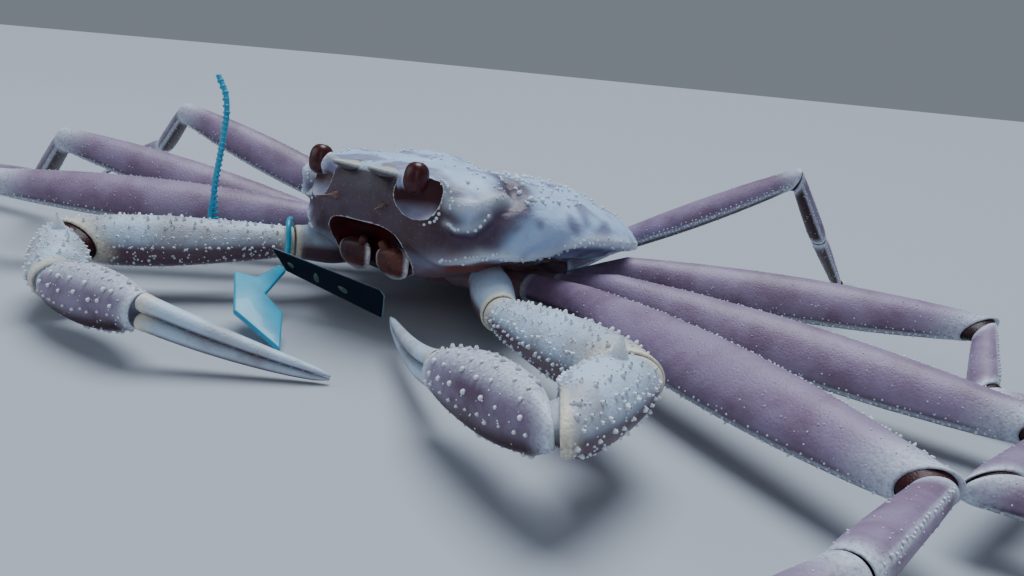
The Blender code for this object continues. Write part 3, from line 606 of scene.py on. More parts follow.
def meetAt(first, second, gap, opened=True):
    joint, normal = first.end, (first.along + second.along).normalized()
    first.endPlane = (joint - normal * gap / 2, normal)
    second.startPlane = (joint + normal * gap / 2, normal)
    bend = first.along.angle(second.along)
    if opened and bend > 0.25:
        inside = (second.along - first.along).normalized()
        reach = 0.5 * first.width * first.outline[-1][1] / math.cos(bend / 2)
        depth = min(limbSettings["openingShare"] * reach * math.sin(bend / 2) * 1.6, limbSettings["maxOpening"])
        first.endOpening = second.startOpening = (inside, depth, reach)


dishRings = ((0.6, 1.8, 0.2), (0.9, 0.9, 0.6), (0.97, 0.1, 1.0))  # scale, depth in mm, paleness


def shellRings(stretch, count, sides, openStart=True, openEnd=True):  # rings with thick rims and dished ends
    swell = limbSettings["rimSwell"]
    rim = min(1.6 / (stretch.end - stretch.start).length, 0.08)
    rings, edges = [], []

    def add(t, scale=1.0, push=0.0, edge=0.0):
        rings.append(stretch.ring(t, sides, scale, push))
        edges.extend([edge] * sides)

    if openStart:
        for scale, depth, edge in dishRings:
            add(0, scale, depth, edge)
        add(rim * 0.3, swell, 0, 1.0)
        add(rim, swell, 0, 1.0)
    else:
        add(0)
    low, high = (rim * 1.5 if openStart else 0), (1 - rim * 1.5 if openEnd else 1)
    for t in (k / count for k in range(count + 1)):
        if low < t < high:
            near = min(t if openStart else 1, 1 - t if openEnd else 1)
            add(t, 1.0, 0.0, 0.95 * (1 - smoothStep(0.0, 0.14, near)))
    if openEnd:
        add(1 - rim, swell, 0, 1.0)
        add(1 - rim * 0.3, swell, 0, 1.0)
        for scale, depth, edge in reversed(dishRings):
            add(1, scale, -depth, edge)
    else:
        add(1)
    return rings, edges


skinSettings = {"sides": 32, "steps": 12, "scale": 0.88, "depth": 1.2, "fold": 0.05}


def joinSkin(name, first, second, finish="joinSkin"):  # the skin that closes a joint, folded between the two rims
    sides, steps = skinSettings["sides"], skinSettings["steps"]
    start = first.ring(1, sides, skinSettings["scale"], -skinSettings["depth"])
    end = second.ring(0, sides, skinSettings["scale"], skinSettings["depth"])
    rings = []
    for k in range(steps + 1):
        fold = 1 - skinSettings["fold"] * math.cos(k * math.pi) * (1 if 0 < k < steps else 0)
        ring = [p.lerp(q, k / steps) for p, q in zip(start, end)]
        middle = sum(ring, Vector()) / sides
        rings.append([middle + (p - middle) * fold for p in ring])
    dress(makePiece(name, *fineLoft(rings), finishes[finish]), "under_shell")


def rowRoots(stretch, rows, draw, mirrored=False):
    roots = []
    for degrees, count, first, last, size in rows:
        for k in range(count):
            t = min(max(first + (last - first) * (k + draw.uniform(-0.3, 0.3)) / max(count - 1, 1), 0.02), 0.98)
            angle = math.radians((180 - degrees if mirrored else degrees) + draw.uniform(-4, 4))
            place, outward = stretch.surface(t, angle)
            roots.append((place, outward, size * draw.uniform(0.75, 1.2)))
    return roots


def scatterRoots(stretch, count, low, high, draw, size):  # small grains all over a band of the skin
    roots = []
    for _ in range(count):
        place, outward = stretch.surface(draw.uniform(low, high), draw.uniform(0, math.tau))
        roots.append((place, outward, size * draw.uniform(0.5, 1.1)))
    return roots


# nubs of the limbs; on the left carpus one large tooth stands beside the elbow, on the right its mirror image
legNubs = {"height": 0.55, "width": 0.42, "tip": 0.1, "root": 0.4, "sides": 7, "round": True}
legSpikes = {"height": 0.8, "width": 0.7, "tip": 0.16, "root": 0.8, "sides": 8, "round": False}
armSpikes = {"height": 1.0, "width": 1.1, "tip": 0.3, "root": 1.0, "sides": 10, "round": False}
armNubs = {"height": 0.85, "width": 0.72, "tip": 0.1, "root": 0.4, "sides": 8, "round": True}
elbowTooth = {
    "height": 5.0, "width": 2.7, "tip": 0.3, "root": 1.6, "sides": 16, "round": False, "share": 0.28, "degrees": 28,
}
shellMasks = {
    # where the darker underside starts, partly the shell's own colour and partly painted shade, then the pale
    # margins: side, strength, start, end
    "legShell": ((-0.05, 0.45), ((1, 0.75, 0.955, 1), (-1, 0.75, 0.955, 1))),
    "clawShell": ((-0.3, 0.15), ()),
    "palmShell": ((0, 0.55), ((1, 0.9, 0.35, 0.95), (-1, 0.7, 0.85, 1))),
}
lumpSettings = {"waves": ((0.35, 0.14), (0.09, 0.22)), "share": 0.3}  # each wave's scale and height


def limbPiece(name, stretch, count, finish, slotName, node, openStart=True, extraRings=([], [])):
    sides = limbSettings["sides"]
    rings, edges = shellRings(stretch, count, sides, openStart)
    rings, edges = extraRings[0] + rings, extraRings[1] + edges
    points, faces = fineLoft(rings)
    undersideShadeBand, margins = shellMasks[finish]
    for k, edge in enumerate(edges):
        turn = math.cos(math.tau * (k % sides) / sides)
        pale = [strength * smoothStep(low, high, way * turn) for way, strength, low, high in margins]
        edges[k] = max([edge, *pale])
    lumpy = []
    for p in points:
        lift = sum(noise.noise(p * scale) * height for scale, height in lumpSettings["waves"])
        lumpy.append(p + Vector((0, 0, 1)) * lift * lumpSettings["share"])
    piece = makePiece(name, lumpy, faces, finishes[finish], edges)
    # the darker underside band: partly the shell's own colour, partly painted shade
    setLayer(piece.data, "low", [smoothStep(*undersideShadeBand, -normal.vector.z) for normal in piece.data.vertex_normals])
    dress(piece, slotName, node)
    return piece


legRows = {  # degrees round the skin, count, first and last share of the length, size
    "spikes": ((0, 13, 0.06, 0.96, 1.0), (180, 13, 0.06, 0.94, 1.0)),
    "merus": (
        (2, 46, 0.03, 0.97, 1), (16, 38, 0.05, 0.96, 0.7), (176, 46, 0.03, 0.96, 1), (160, 36, 0.05, 0.95, 0.7),
    ),
    "lower": ((2, 22, 0.06, 0.94, 0.9), (178, 22, 0.06, 0.94, 0.9)),
}


def buildLeg(side, pair):
    width, thickness = limbSettings["width"][pair], limbSettings["thickness"][pair]
    lean = limbSettings["lean"][pair] * sideSign(side)
    places = limbJoints(side, pair)
    outlines = limbSettings["outlines"]
    kinds = ("ischium", "merus", "carpus", "propodus", "dactyl")
    chain = [Stretch(a, b, outlines[kind], width, thickness, lean) for a, b, kind in zip(places, places[1:], kinds)]
    for number, (near, far) in enumerate(zip([hipStretch(side, pair), *chain], chain)):
        joined = number == 1 and pair != 5
        meetAt(near, far, 0 if joined else limbSettings["gap"], opened=number > 1)
    ischium, merus, carpus, propodus, dactyl = chain
    name = f"{side}Leg{pair}"
    node = f"{side}_leg_{pair}"
    draw = random.Random(pair * 7 + (side == "left"))
    mirrored = side == "right"
    extra = ([], [])
    if pair == 5:
        limbPiece(name + "IschiumShell", ischium, 12, "legShell", "leg_shell", node + "_ischium")
    else:
        rings, edges = shellRings(ischium, 12, limbSettings["sides"], True, False)
        extra = (rings[:-1], edges[:-limbSettings["sides"]])
    thigh = limbPiece(name + "MerusShell", merus, 64, "legShell", "leg_shell", node + "_merus", pair == 5, extra)
    growNubs(thigh, rowRoots(merus, legRows["spikes"], draw, mirrored), legSpikes, finishes["legShell"])
    roots = rowRoots(merus, legRows["merus"], draw, mirrored) + scatterRoots(merus, 260, 0.03, 0.97, draw, 0.55)
    growNubs(thigh, roots, legNubs, finishes["legShell"])
    for stretch, label, count in ((carpus, "Carpus", 24), (propodus, "Propodus", 40)):
        piece = limbPiece(name + label + "Shell", stretch, count, "legShell", "leg_shell", node + "_" + label.lower())
        roots = rowRoots(stretch, legRows["lower"], draw, mirrored)
        roots += scatterRoots(stretch, 90, 0.04, 0.96, draw, 0.5)
        growNubs(piece, roots, legNubs, finishes["legShell"])
    footRings, edges = shellRings(dactyl, 30, 32, True, False)
    cut = dactyl.start.lerp(dactyl.end, limbSettings["footCut"])

    def trimmed(p):  # the tip is cut square and stays above the floor
        p = p - dactyl.along * max((p - cut).dot(dactyl.along), 0)
        return Vector((p.x, p.y, max(p.z, 0)))

    footRings = [[trimmed(p) for p in ring] for ring in footRings]
    foot = makePiece(name + "DactylShell", *fineLoft(footRings), finishes["clawShell"], edges)
    dress(foot, "claw_shell", node + "_dactyl")
    for first, second, label in ((merus, carpus, "Knee"), (carpus, propodus, "Shin"), (propodus, dactyl, "Ankle")):
        joinSkin(name + label + "Skin", first, second)


for side in ("left", "right"):
    for pair in (2, 3, 4, 5):
        buildLeg(side, pair)
    print("walking legs are made:", side)


armRows = {  # degrees round the skin, count, first and last share of the length, size
    "merus": (
        (0, 16, 0.08, 0.96, 1), (48, 14, 0.1, 0.95, 0.9), (100, 14, 0.1, 0.95, 0.9),
        (150, 10, 0.1, 0.9, 0.7), (124, 17, 0.06, 0.95, 0.85), (74, 12, 0.1, 0.95, 0.7),
    ),
    "carpus": (
        (0, 6, 0.2, 0.85, 0.9), (48, 6, 0.2, 0.85, 0.9), (95, 6, 0.25, 0.85, 0.9), (140, 5, 0.2, 0.8, 0.8),
        (-22, 7, 0.12, 0.88, 0.9), (-45, 8, 0.1, 0.9, 0.85), (-66, 8, 0.1, 0.9, 0.95), (-88, 8, 0.12, 0.9, 0.8),
    ),
    "palm": ((0, 11, 0.08, 0.95, 0.9), (100, 11, 0.1, 0.93, 0.75)),
    "palmBeads": (
        (50, 6, 0.2, 0.88, 1), (75, 7, 0.15, 0.9, 0.9), (25, 8, 0.15, 0.9, 0.7), (-60, 8, 0.2, 0.85, 0.8),
        (172, 12, 0.12, 0.92, 1.1),
    ),
}


def buildArm(side):
    size, outlines = armSettings["size"], armSettings["outlines"]
    places = limbJoints(side, 1)
    kinds = ("ischium", "merus", "carpus", "palm")
    leans = (armSettings["lean"] * sideSign(side),) * 3 + (90,)
    chain = [
        Stretch(a, b, outlines[kind], size, size, lean)
        for a, b, kind, lean in zip(places, places[1:], kinds, leans)
    ]
    for number, (near, far) in enumerate(zip([hipStretch(side, 1), *chain], chain)):
        meetAt(near, far, limbSettings["gap"], opened=number > 1)
    ischium, merus, carpus, palm = chain
    fingers = [
        Stretch(
            places[4], places[5], outlines["finger"], armSettings["fingerWidth"], armSettings["fingerThickness"],
            90, armSettings["bow"][side], half,
        )
        for half in (-1, 1)
    ]
    meetAt(palm, fingers[0], limbSettings["gap"], opened=False)
    fingers[1].startPlane = fingers[0].startPlane
    name, node = f"{side}Claw", f"{side}_claw"
    draw = random.Random(31 + (side == "left"))
    mirrored = side == "right"
    shell = finishes["clawShell"]
    limbPiece(name + "IschiumShell", ischium, 18, "clawShell", "claw_shell", node + "_ischium")
    for stretch, label, count, scatter in ((merus, "merus", 48, 420), (carpus, "carpus", 30, 260)):
        pieceName = name + label.capitalize() + "Shell"
        piece = limbPiece(pieceName, stretch, count, "clawShell", "claw_shell", node + "_" + label)
        growNubs(piece, rowRoots(stretch, armRows[label], draw, mirrored), armSpikes, shell)
        growNubs(piece, scatterRoots(stretch, scatter // 5, 0.08, 0.92, draw, 0.8), armSpikes, shell)
        if label == "carpus":  # the one large tooth beside the elbow
            angle = math.radians(180 - elbowTooth["degrees"] if mirrored else elbowTooth["degrees"])
            growNubs(piece, [(*stretch.surface(elbowTooth["share"], angle), 1)], elbowTooth, shell)
        growNubs(piece, scatterRoots(stretch, scatter, 0.04, 0.96, draw, 0.45), armNubs, shell)
    hand = limbPiece(name + "PalmShell", palm, 44, "palmShell", "claw_shell", node + "_palm")

    def turned(rowList):
        return [(-degrees if side == "left" else degrees, *rest) for degrees, *rest in rowList]

    growNubs(hand, rowRoots(palm, turned(armRows["palm"]), draw), armSpikes, finishes["palmShell"])
    beads = rowRoots(palm, turned(armRows["palmBeads"]), draw) + scatterRoots(palm, 150, 0.04, 0.96, draw, 0.35)
    growNubs(hand, beads, armNubs, finishes["palmShell"])
    for finger, label in zip(fingers, ("finger", "dactyl")):
        rings, edges = shellRings(finger, 44, 28, True, False)
        piece = makePiece(name + label.capitalize() + "Shell", *fineLoft(rings), shell, edges)
        dress(piece, "claw_shell", node + "_" + label)
        inner = math.pi if finger.side > 0 else 0
        teeth = [(*finger.surface(0.12 + 0.8 * k / 13, inner), 0.55 - 0.02 * k) for k in range(14)]
        growNubs(piece, teeth, armNubs, shell)
    joinSkin(name + "ElbowSkin", merus, carpus)
    joinSkin(name + "WristSkin", carpus, palm, "clawShell")


for side in ("left", "right"):
    buildArm(side)
print("claw arms are made")


# Carapace: the solid's own stations, with the relief and tones of the real shell and painted shade in its hollows,
# grooves and face

carapaceSettings = {
    # y, half width, height above the margin, depth below it
    "stations": (
        (-61, 13, 7, 4), (-58, 25, 10, 12), (-51, 37, 12, 21), (-44, 44, 14, 25), (-38, 47, 15, 25),
        (-28, 51, 16, 22), (-14, 54, 16, 18), (2, 57, 16, 16), (18, 59, 15, 14), (34, 56, 13, 11),
        (44, 49.5, 12, 8), (51, 41, 10.5, 7), (56, 29, 8, 5.5), (58, 19, 5.5, 4),
    ),
    # swellings: x, y, spread across, spread along, height
    "lobes": ((0, -24, 15, 14, 3), (35, -32, 9, 9, 2), (33, 12, 17, 22, 3), (0, 20, 11, 12, 2)),
    # folds on one half: height, width, then places in the body's frame
    "folds": {
        "lobeEdge": (1.3, 2.6, (
            (26.6, -53.8, 7.6), (31.3, -54.6, 2.7), (34.8, -52.4, 2), (37.6, -50, 3), (39.8, -46.9, 4.7),
            (41.9, -37.2, 8.7),
        )),
        "beadEdge": (0.8, 2.0, ((31.2, -54.3, -4.3), (33.4, -52.7, -5.3), (38.6, -49.3, -3.6), (41.7, -46.7, 1))),
        "flange": (1.7, 2.2, (
            (18.4, -57.7, -8.8), (19.9, -56, -11.1), (24.1, -52.7, -13.9), (28.1, -49.3, -15.6), (33.6, -46.5, -14.4),
            (39.4, -43.1, -11.9), (43, -38.6, -9.9), (45.3, -27.4, -10.1), (49.7, -19.3, -6.7), (53.5, -13.1, -2.9),
            (56.5, 0, -0.5), (58.6, 16, 0), (55.5, 34, 0), (45, 48, 0),
        )),
        "valley": (-3.0, 3.4, (
            (28.5, -55.5, 3.5), (29.7, -55.8, -0.3), (31.5, -52.5, -9), (35.4, -49.3, -9.5), (38.5, -46.7, -9),
            (42.1, -45.3, -4.9), (43.3, -44.8, -1), (44.3, -42.2, 3.8), (42.8, -36.7, 8.2), (35, -28, 13),
        )),
        "sideHollow": (-1.2, 3.5, ((50, -14, -8), (53.5, 2, -6), (55, 18, -5), (51, 34, -4))),
        "underBand": (-1.1, 2.6, (
            (30, -43, -18.5), (36, -36, -16.5), (40.3, -22.4, -12.9), (42, -3, -11), (45, 12, -9),
        )),
    },
    # grooves of the back, read from above: depth, width, places
    "grooves": {
        "neck": (-1.5, 2.6, ((0, -9), (11, -12), (19, -21), (27, -27), (35, -28))),
        "heart": (-1.3, 2.2, ((11, -12), (13, 4), (15, 20), (13, 34), (8, 42))),
        "brow": (-0.7, 2.0, ((0, -50), (8, -42), (15, -36), (18, -26))),
    },
    # a small pit: x, y, z, width, height
    "dimple": (49.3, -32.4, -2, 2.2, -1.4),
    "sides": 288, "rows": 176, "lump": 0.35, "ripple": 0.12,
    "orbit": {"centre": (23, -62, 4), "size": (9.5, 9, 9.5)},
    "mouth": {"centre": (0, -63, -29), "size": (17.5, 20, 20)},
    # teeth on the outer rim of the orbit, grains all over the back and tubercles on its sides
    "rimTeeth": {"count": 15, "first": -80, "step": 11, "share": 0.98, "y": -56, "size": 0.5},
    "grains": {"count": 260, "x": (2, 52), "y": (-50, 48), "z": 14, "sizes": (0.5, 0.7, 1.0)},
    "backNubs": {"count": 60, "x": (20, 50), "y": (-34, 40), "z": 14, "size": (0.6, 0.95)},
    # the hollow below the back: y and half width
    "tunnel": (
        (-38, 14), (-33, 20), (-24, 25), (-10, 27), (5, 28), (20, 25), (34, 19), (41, 14), (45, 9),
    ),
    "tunnelTop": -14,
    # tones: pale back, patches that are partly random and partly painted shade in the grooves, painted shade in the
    # valley, a brown face darkened with painted shade, a notch of painted shade under the snout, orange band, white
    # margins, belly
    "pale": (0.5, 0.7, 0.98), "patchAndGrooveShade": (0.17, 0.13, 0.26), "valleyShade": (0.075, 0.038, 0.07),
    # the face colour is partly its own brown and partly painted shade; the notch colour is painted shade
    "faceBrownAndShade": (0.075, 0.028, 0.032), "notchShade": (0.008, 0.002, 0.002), "orange": (0.3, 0.075, 0.05),
    "white": (0.8, 0.9, 1), "belly": (0.22, 0.13, 0.16), "stain": (0.22, 0.17, 0.04), "horn": (0.5, 0.52, 0.45),
}


def shellPoint(y, angle):
    half, top, depth = smoothBetween(carapaceSettings["stations"], y)
    across, up = math.cos(angle), math.sin(angle)
    x = half * math.copysign(abs(across) ** (0.8 if up > 0 else 1), across)
    if up <= 0:
        return (x, y, depth * up)
    swell = sum(
        height * math.exp(-(((abs(x) - cx) / sx) ** 2) - ((y - cy) / sy) ** 2)
        for cx, cy, sx, sy, height in carapaceSettings["lobes"]
    )
    return (x, y, top * up**0.9 + swell * up)


def farFrom(places, line):  # shortest distance from each place to a line through points
    best = np.full(len(places), 1e9)
    for start, end in zip(line, line[1:]):
        start, end = np.array(start, float), np.array(end, float)
        span = end - start
        share = np.clip((places - start) @ span / (span @ span), 0, 1)[:, None]
        best = np.minimum(best, np.linalg.norm(places - start - span * share, axis=1))
    return best


def softStep(low, high, values):
    share = np.clip((values - low) / (high - low), 0, 1)
    return share * share * (3 - 2 * share)


def carapaceSkin(settings):  # points, faces and tones of the shell in the body's frame
    first, last = settings["stations"][0][0], settings["stations"][-1][0]
    middle, reach = (first + last) / 2, (last - first) / 2
    sides, rows = settings["sides"], settings["rows"]
    ys = [middle - reach * math.cos(math.pi * (0.02 + 0.96 * k / rows)) for k in range(rows + 1)]
    ys[0], ys[-1] = first, last
    flat = np.array([[shellPoint(y, math.tau * k / sides) for k in range(sides)] for y in ys])
    along = np.gradient(flat, axis=0)
    around = np.roll(flat, -1, axis=1) - np.roll(flat, 1, axis=1)
    outward = np.cross(around, along).reshape(-1, 3)
    places = flat.reshape(-1, 3)
    outward /= np.maximum(np.linalg.norm(outward, axis=1), 1e-9)[:, None]
    outward *= np.sign(np.sum(outward * (places * (1, 0.3, 1) - (0, 0, -3)), axis=1))[:, None]
    half = places.copy()
    half[:, 0] = np.abs(half[:, 0])
    lift = np.zeros(len(places))
    far = {}
    for name, (height, width, line) in settings["folds"].items():
        far[name] = farFrom(half, line)
        lift += height * np.exp(-((far[name] / width) ** 2))
    onTop = softStep(1, 6, places[:, 2])
    for name, (height, width, line) in settings["grooves"].items():
        far[name] = farFrom(half[:, :2], line)
        lift += height * np.exp(-((far[name] / width) ** 2)) * onTop
    x, y, z, width, height = settings["dimple"]
    lift += height * np.exp(-((np.linalg.norm(half - (x, y, z), axis=1) / width) ** 2))
    lumps = np.array([noise.noise(Vector(p) * 0.11) * 1.6 + noise.noise(Vector(p) * 0.27) for p in places])
    ripples = np.array([noise.noise(Vector(p) * 0.9) for p in places])
    calm = softStep(-61, -54, places[:, 1]) * (1 - softStep(50, 57, places[:, 1]))
    lift = (lift + lumps * settings["lump"] + ripples * settings["ripple"]) * np.maximum(calm, 0.15)
    return places + outward * lift[:, None], half, far, sides


def carapaceTones(half, far, settings):
    across, along, up = half.T

    def near(line, reach, power=2):
        return np.exp(-((far[line] / reach) ** power))

    def cloud(scale, shift=(0, 0, 0)):
        return np.array([noise.noise(Vector(p) * scale + Vector(shift)) for p in half])

    onTop = softStep(1, 6, up)
    front = (1 - softStep(-55, -44, along)) * (1 - softStep(6, 9, up)) * (1 - softStep(25, 36, across))
    # painted shade in the notch under the snout
    notchShade = np.exp(-((across / 15) ** 4)) * softStep(1, 4, up) * (1 - softStep(7, 8.5, up)) * front
    stain = np.exp(-((across / 14) ** 2) - ((along + 57) / 4) ** 2) * softStep(3, 7, up)
    stain *= softStep(-0.15, 0.3, cloud(0.5))
    layers = (
        ("patchAndGrooveShade", softStep(-0.02, 0.4, cloud(0.13, (7, 3, 1))) * 0.7),
        # painted shade: darker in the neck and heart grooves, the side hollow and the valley
        ("patchAndGrooveShade", near("neck", 3.5) * 0.75 * onTop),
        ("patchAndGrooveShade", near("heart", 3) * 0.6 * onTop),
        ("patchAndGrooveShade", near("sideHollow", 5) * 0.85),
        ("valleyShade", near("valley", 7.5, 4) * 0.97),
        # the face: brown, partly its own colour and partly painted shade; the notch under the snout is painted shade
        ("faceBrownAndShade", front * 0.95),
        ("notchShade", notchShade),
        ("belly", softStep(11, 15, -up) * (1 - front)),
        ("orange", near("underBand", 3.6, 4) * 0.9),
        ("white", near("flange", 1.9) * 0.85 * softStep(-53, -44, along)),
        ("white", near("lobeEdge", 2.6) * 0.6),
        ("white", near("beadEdge", 1.4) * 0.45),
        ("stain", stain * 0.8),
    )
    tones = np.tile(np.array(settings["pale"]), (len(half), 1))
    for name, mask in layers:
        tones = tones + (np.array(settings[name]) - tones) * np.clip(mask, 0, 1)[:, None]
    return tones


def setTones(mesh, tones):
    layer = mesh.color_attributes.new("tone", "FLOAT_COLOR", "POINT")
    layer.data.foreach_set("color", np.hstack([tones, np.ones((len(tones), 1))]).ravel().astype(np.float32))


def ballRings(centre, size, sides, rows, power=1.0):  # rings of a ball, boxier as the power falls
    rings = []
    for j in range(rows + 1):
        lift = math.pi * (j + 0.02 * (j == 0) - 0.02 * (j == rows)) / rows - math.pi / 2
        ring = []
        for k in range(sides):
            turn = math.tau * k / sides
            parts = (math.cos(lift) * math.cos(turn), math.cos(lift) * math.sin(turn), math.sin(lift))
            ring.append([c + s * math.copysign(abs(p) ** power, p) for c, s, p in zip(centre, size, parts)])
        rings.append(ring)
    return rings


def cutWith(piece, cutters):
    group = bpy.data.collections.new("cutters")
    bpy.context.scene.collection.children.link(group)
    for cutter in cutters:
        bpy.context.scene.collection.objects.unlink(cutter)
        group.objects.link(cutter)
    modifier = piece.modifiers.new("openings", "BOOLEAN")
    modifier.operation = "DIFFERENCE"
    modifier.operand_type = "COLLECTION"
    modifier.collection = group
    modifier.solver = "EXACT"
    modifier.material_mode = "TRANSFER"
    settle(piece)
    for cutter in list(group.objects):
        bpy.data.objects.remove(cutter, do_unlink=True)
    bpy.data.collections.remove(group)


finishes["carapacePainted"] = tonedFinish("carapacePainted", finishSettings["carapaceShell"], 0.12)
# the orbit's lining: pale blue-white below is a painted highlight, turning dark brown above
finishes["orbitLiningWithPaintedHighlight"] = fadeUpwards(
    plainFinish("orbitLiningWithPaintedHighlight", (0.5, 0.62, 0.86), (0.3, 0.28, 0.42), 0.4, 0.1, 150, 0.3),
    (0.09, 0.035, 0.04), 0.0415, 0.047,
)
finishes["mouthLining"] = plainFinish("mouthLining", (0.1, 0.006, 0.008), (0.03, 0.002, 0.003), 0.4, 0.2, 150)


def openingCutters(settings):
    x, y, z = settings["orbit"]["centre"]
    mouth = settings["mouth"]
    tunnel = []
    for place, half in settings["tunnel"]:
        top = -min(-settings["tunnelTop"], smoothBetween(settings["stations"], place)[2] - 1)
        tunnel.append([(half * a, place, b) for a, b in ((1, top), (1, -40), (-1, -40), (-1, top))])
    openings = (
        ("orbitCut", ballRings((x, y, z), settings["orbit"]["size"], 48, 28), "orbitLiningWithPaintedHighlight"),
        ("orbitCut", ballRings((-x, y, z), settings["orbit"]["size"], 48, 28), "orbitLiningWithPaintedHighlight"),
        ("mouthCut", ballRings(mouth["centre"], mouth["size"], 64, 40, 0.42), "mouthLining"),
        ("tunnelCut", tunnel, "underShell"),
    )
    return [makePiece(name, *bodyLoft(rings), finishes[finish]) for name, rings, finish in openings]


carapaceNubs = {"height": 1.25, "width": 1.05, "tip": 0.2, "root": 0.9, "sides": 10, "round": True}
carapaceBeads = {"height": 0.75, "width": 0.62, "tip": 0.1, "root": 0.4, "sides": 8, "round": True}


def nearestOn(points, normals, place):
    k = int(np.argmin(np.linalg.norm(points - np.array(place), axis=1)))
    return Vector(points[k]), Vector(normals[k])


def carapaceRoots(points, normals, settings):
    draw = random.Random(5)
    large, small = [], []

    def plant(roots, place, size):
        for sign in (1, -1):
            spot, outward = nearestOn(points, normals, (sign * place[0], place[1], place[2]))
            roots.append((bodyPoint(spot), bodyFrame().to_3x3() @ outward, size * draw.uniform(0.8, 1.2)))

    def alongLine(line, count, size, roots, wander=0.3):
        for k in range(count):
            at = (len(line) - 1) * k / (count - 1)
            one = min(int(at), len(line) - 2)
            ends = zip(line[one], line[one + 1])
            plant(roots, [a + (b - a) * (at - one) + draw.uniform(-wander, wander) for a, b in ends], size)

    for fold, first, end, count, size, roots in (
        ("flange", 3, 10, 34, 0.52, large), ("flange", 9, 14, 28, 0.52, large),
        ("beadEdge", 0, 4, 10, 0.58, large), ("lobeEdge", 0, 6, 12, 0.45, small),
    ):
        alongLine(settings["folds"][fold][2][first:end], count, size, roots)
    orbit, rim, grains, back = (settings[key] for key in ("orbit", "rimTeeth", "grains", "backNubs"))
    for k in range(rim["count"]):
        turn = math.radians(rim["first"] + rim["step"] * k)
        x = orbit["centre"][0] + orbit["size"][0] * rim["share"] * math.cos(turn)
        z = orbit["centre"][2] + orbit["size"][2] * rim["share"] * math.sin(turn)
        plant(large, (x, rim["y"], z), rim["size"])
    for _ in range(grains["count"]):
        place = (draw.uniform(*grains["x"]), draw.uniform(*grains["y"]), grains["z"])
        plant(small, place, draw.choice(grains["sizes"]))
    for _ in range(back["count"]):
        place = (draw.uniform(*back["x"]), draw.uniform(*back["y"]), back["z"])
        plant(large, place, draw.uniform(*back["size"]))
    return large, small


def rostrumHorn(sign):  # one of the two short flat spines of the snout, with a raised tip
    stations = ((0, 7.4, 2.4), (0.35, 6.4, 2.1), (0.65, 4.2, 1.5), (0.9, 1.9, 0.9), (1, 0.6, 0.4))
    rings = []
    for k in range(25):
        t = k / 24
        wide, thick = smoothBetween(stations, t)
        centre = Vector((sign * (7.2 + 0.6 * t), -50 - 17.5 * t, 8.2 - 1.4 * t + 1.6 * t * t))
        turns = (math.tau * j / 24 for j in range(24))
        rings.append([centre + Vector((wide * math.cos(a), 0, thick * math.sin(a))) for a in turns])
    points, faces = bodyLoft(rings)
    return makePiece("horn", points, faces, finishes["carapacePainted"], [0.15] * len(points))


def buildCarapace(settings):
    points, half, far, sides = carapaceSkin(settings)
    world, faces = bodyLoft([points[k:k + sides] for k in range(0, len(points), sides)])
    shell = makePiece("carapaceShell", world, faces, finishes["carapacePainted"])
    setTones(shell.data, carapaceTones(half, far, settings))
    setLayer(shell.data, "low", [0.0] * len(world))
    turned = np.array(bodyFrame().to_3x3().inverted())
    normals = np.array([normal.vector[:] for normal in shell.data.vertex_normals]) @ turned.T
    large, small = carapaceRoots(points, normals, settings)
    cutWith(shell, openingCutters(settings))
    dress(shell, "carapace_shell", "carapace")
    for name, roots, size in (("carapaceTubercles", large, carapaceNubs), ("carapaceGrains", small, carapaceBeads)):
        hidden = roots[0][0] - roots[0][1] * 3  # a speck inside the shell carries the roots
        corners = [hidden + Vector(p) for p in ((0, 0, 0), (0.1, 0, 0), (0, 0.1, 0), (0, 0, 0.1))]
        seed = makePiece(name, corners, [(0, 2, 1), (0, 1, 3), (1, 2, 3), (0, 3, 2)], finishes["carapaceShell"])
        growNubs(seed, roots, size, finishes["carapaceShell"])
        dress(seed, "carapace_shell")
    for sign, label in ((1, "left"), (-1, "right")):
        horn = rostrumHorn(sign)
        horn.name = label + "Horn"
        setTones(horn.data, np.tile(np.array(settings["horn"]), (len(horn.data.vertices), 1)))
        dress(horn, "carapace_shell")


buildCarapace(carapaceSettings)
print("carapace is made")


# Eyes, feelers and mouth

faceSettings = {
    "eyeCentre": (21, -60, 8), "eyeSize": (3.7, 3.7, 5), "eyeRoot": (12, -57, 4.5), "stalkSize": 5.5,
    "stalk": ((0, 0.95, 0.9), (0.35, 0.9, 0.88), (0.7, 1.05, 1.15), (0.95, 1.25, 1.5), (1, 1.1, 1.35)),
    "antennaRoot": (9, -57.5, -2), "antennaTip": (13, -67, -4), "antennaSize": 3.6,
    "feeler": ((0, 1, 1), (0.4, 0.75, 0.75), (0.5, 0.4, 0.4), (1, 0.2, 0.2)),
    "plate": ((-15.5, 4.5, -48.5), (-18, 6.8, -49.5), (-22, 7, -49), (-25, 5.5, -47.5), (-26.5, 3, -46.5)),
    # stems and small feelers of the mouth: start, end, outline, width, thickness
    "mouthParts": (
        ((9, -49, -20), (9, -43.3, -20), ((0, 1, 1), (1, 1, 1)), 6, 5),
        (
            (5.5, -49.8, -17), (3.6, -51.4, -14.6), ((0, 1, 1), (0.5, 1.05, 1.05), (0.9, 0.8, 0.8), (1, 0.3, 0.3)),
            2.9, 2.9,
        ),
    ),
}
finishes["cornea"] = plainFinish("cornea", (0.07, 0.006, 0.009), (0.035, 0.003, 0.006), 0.34, 0.12, 900, 0.35)


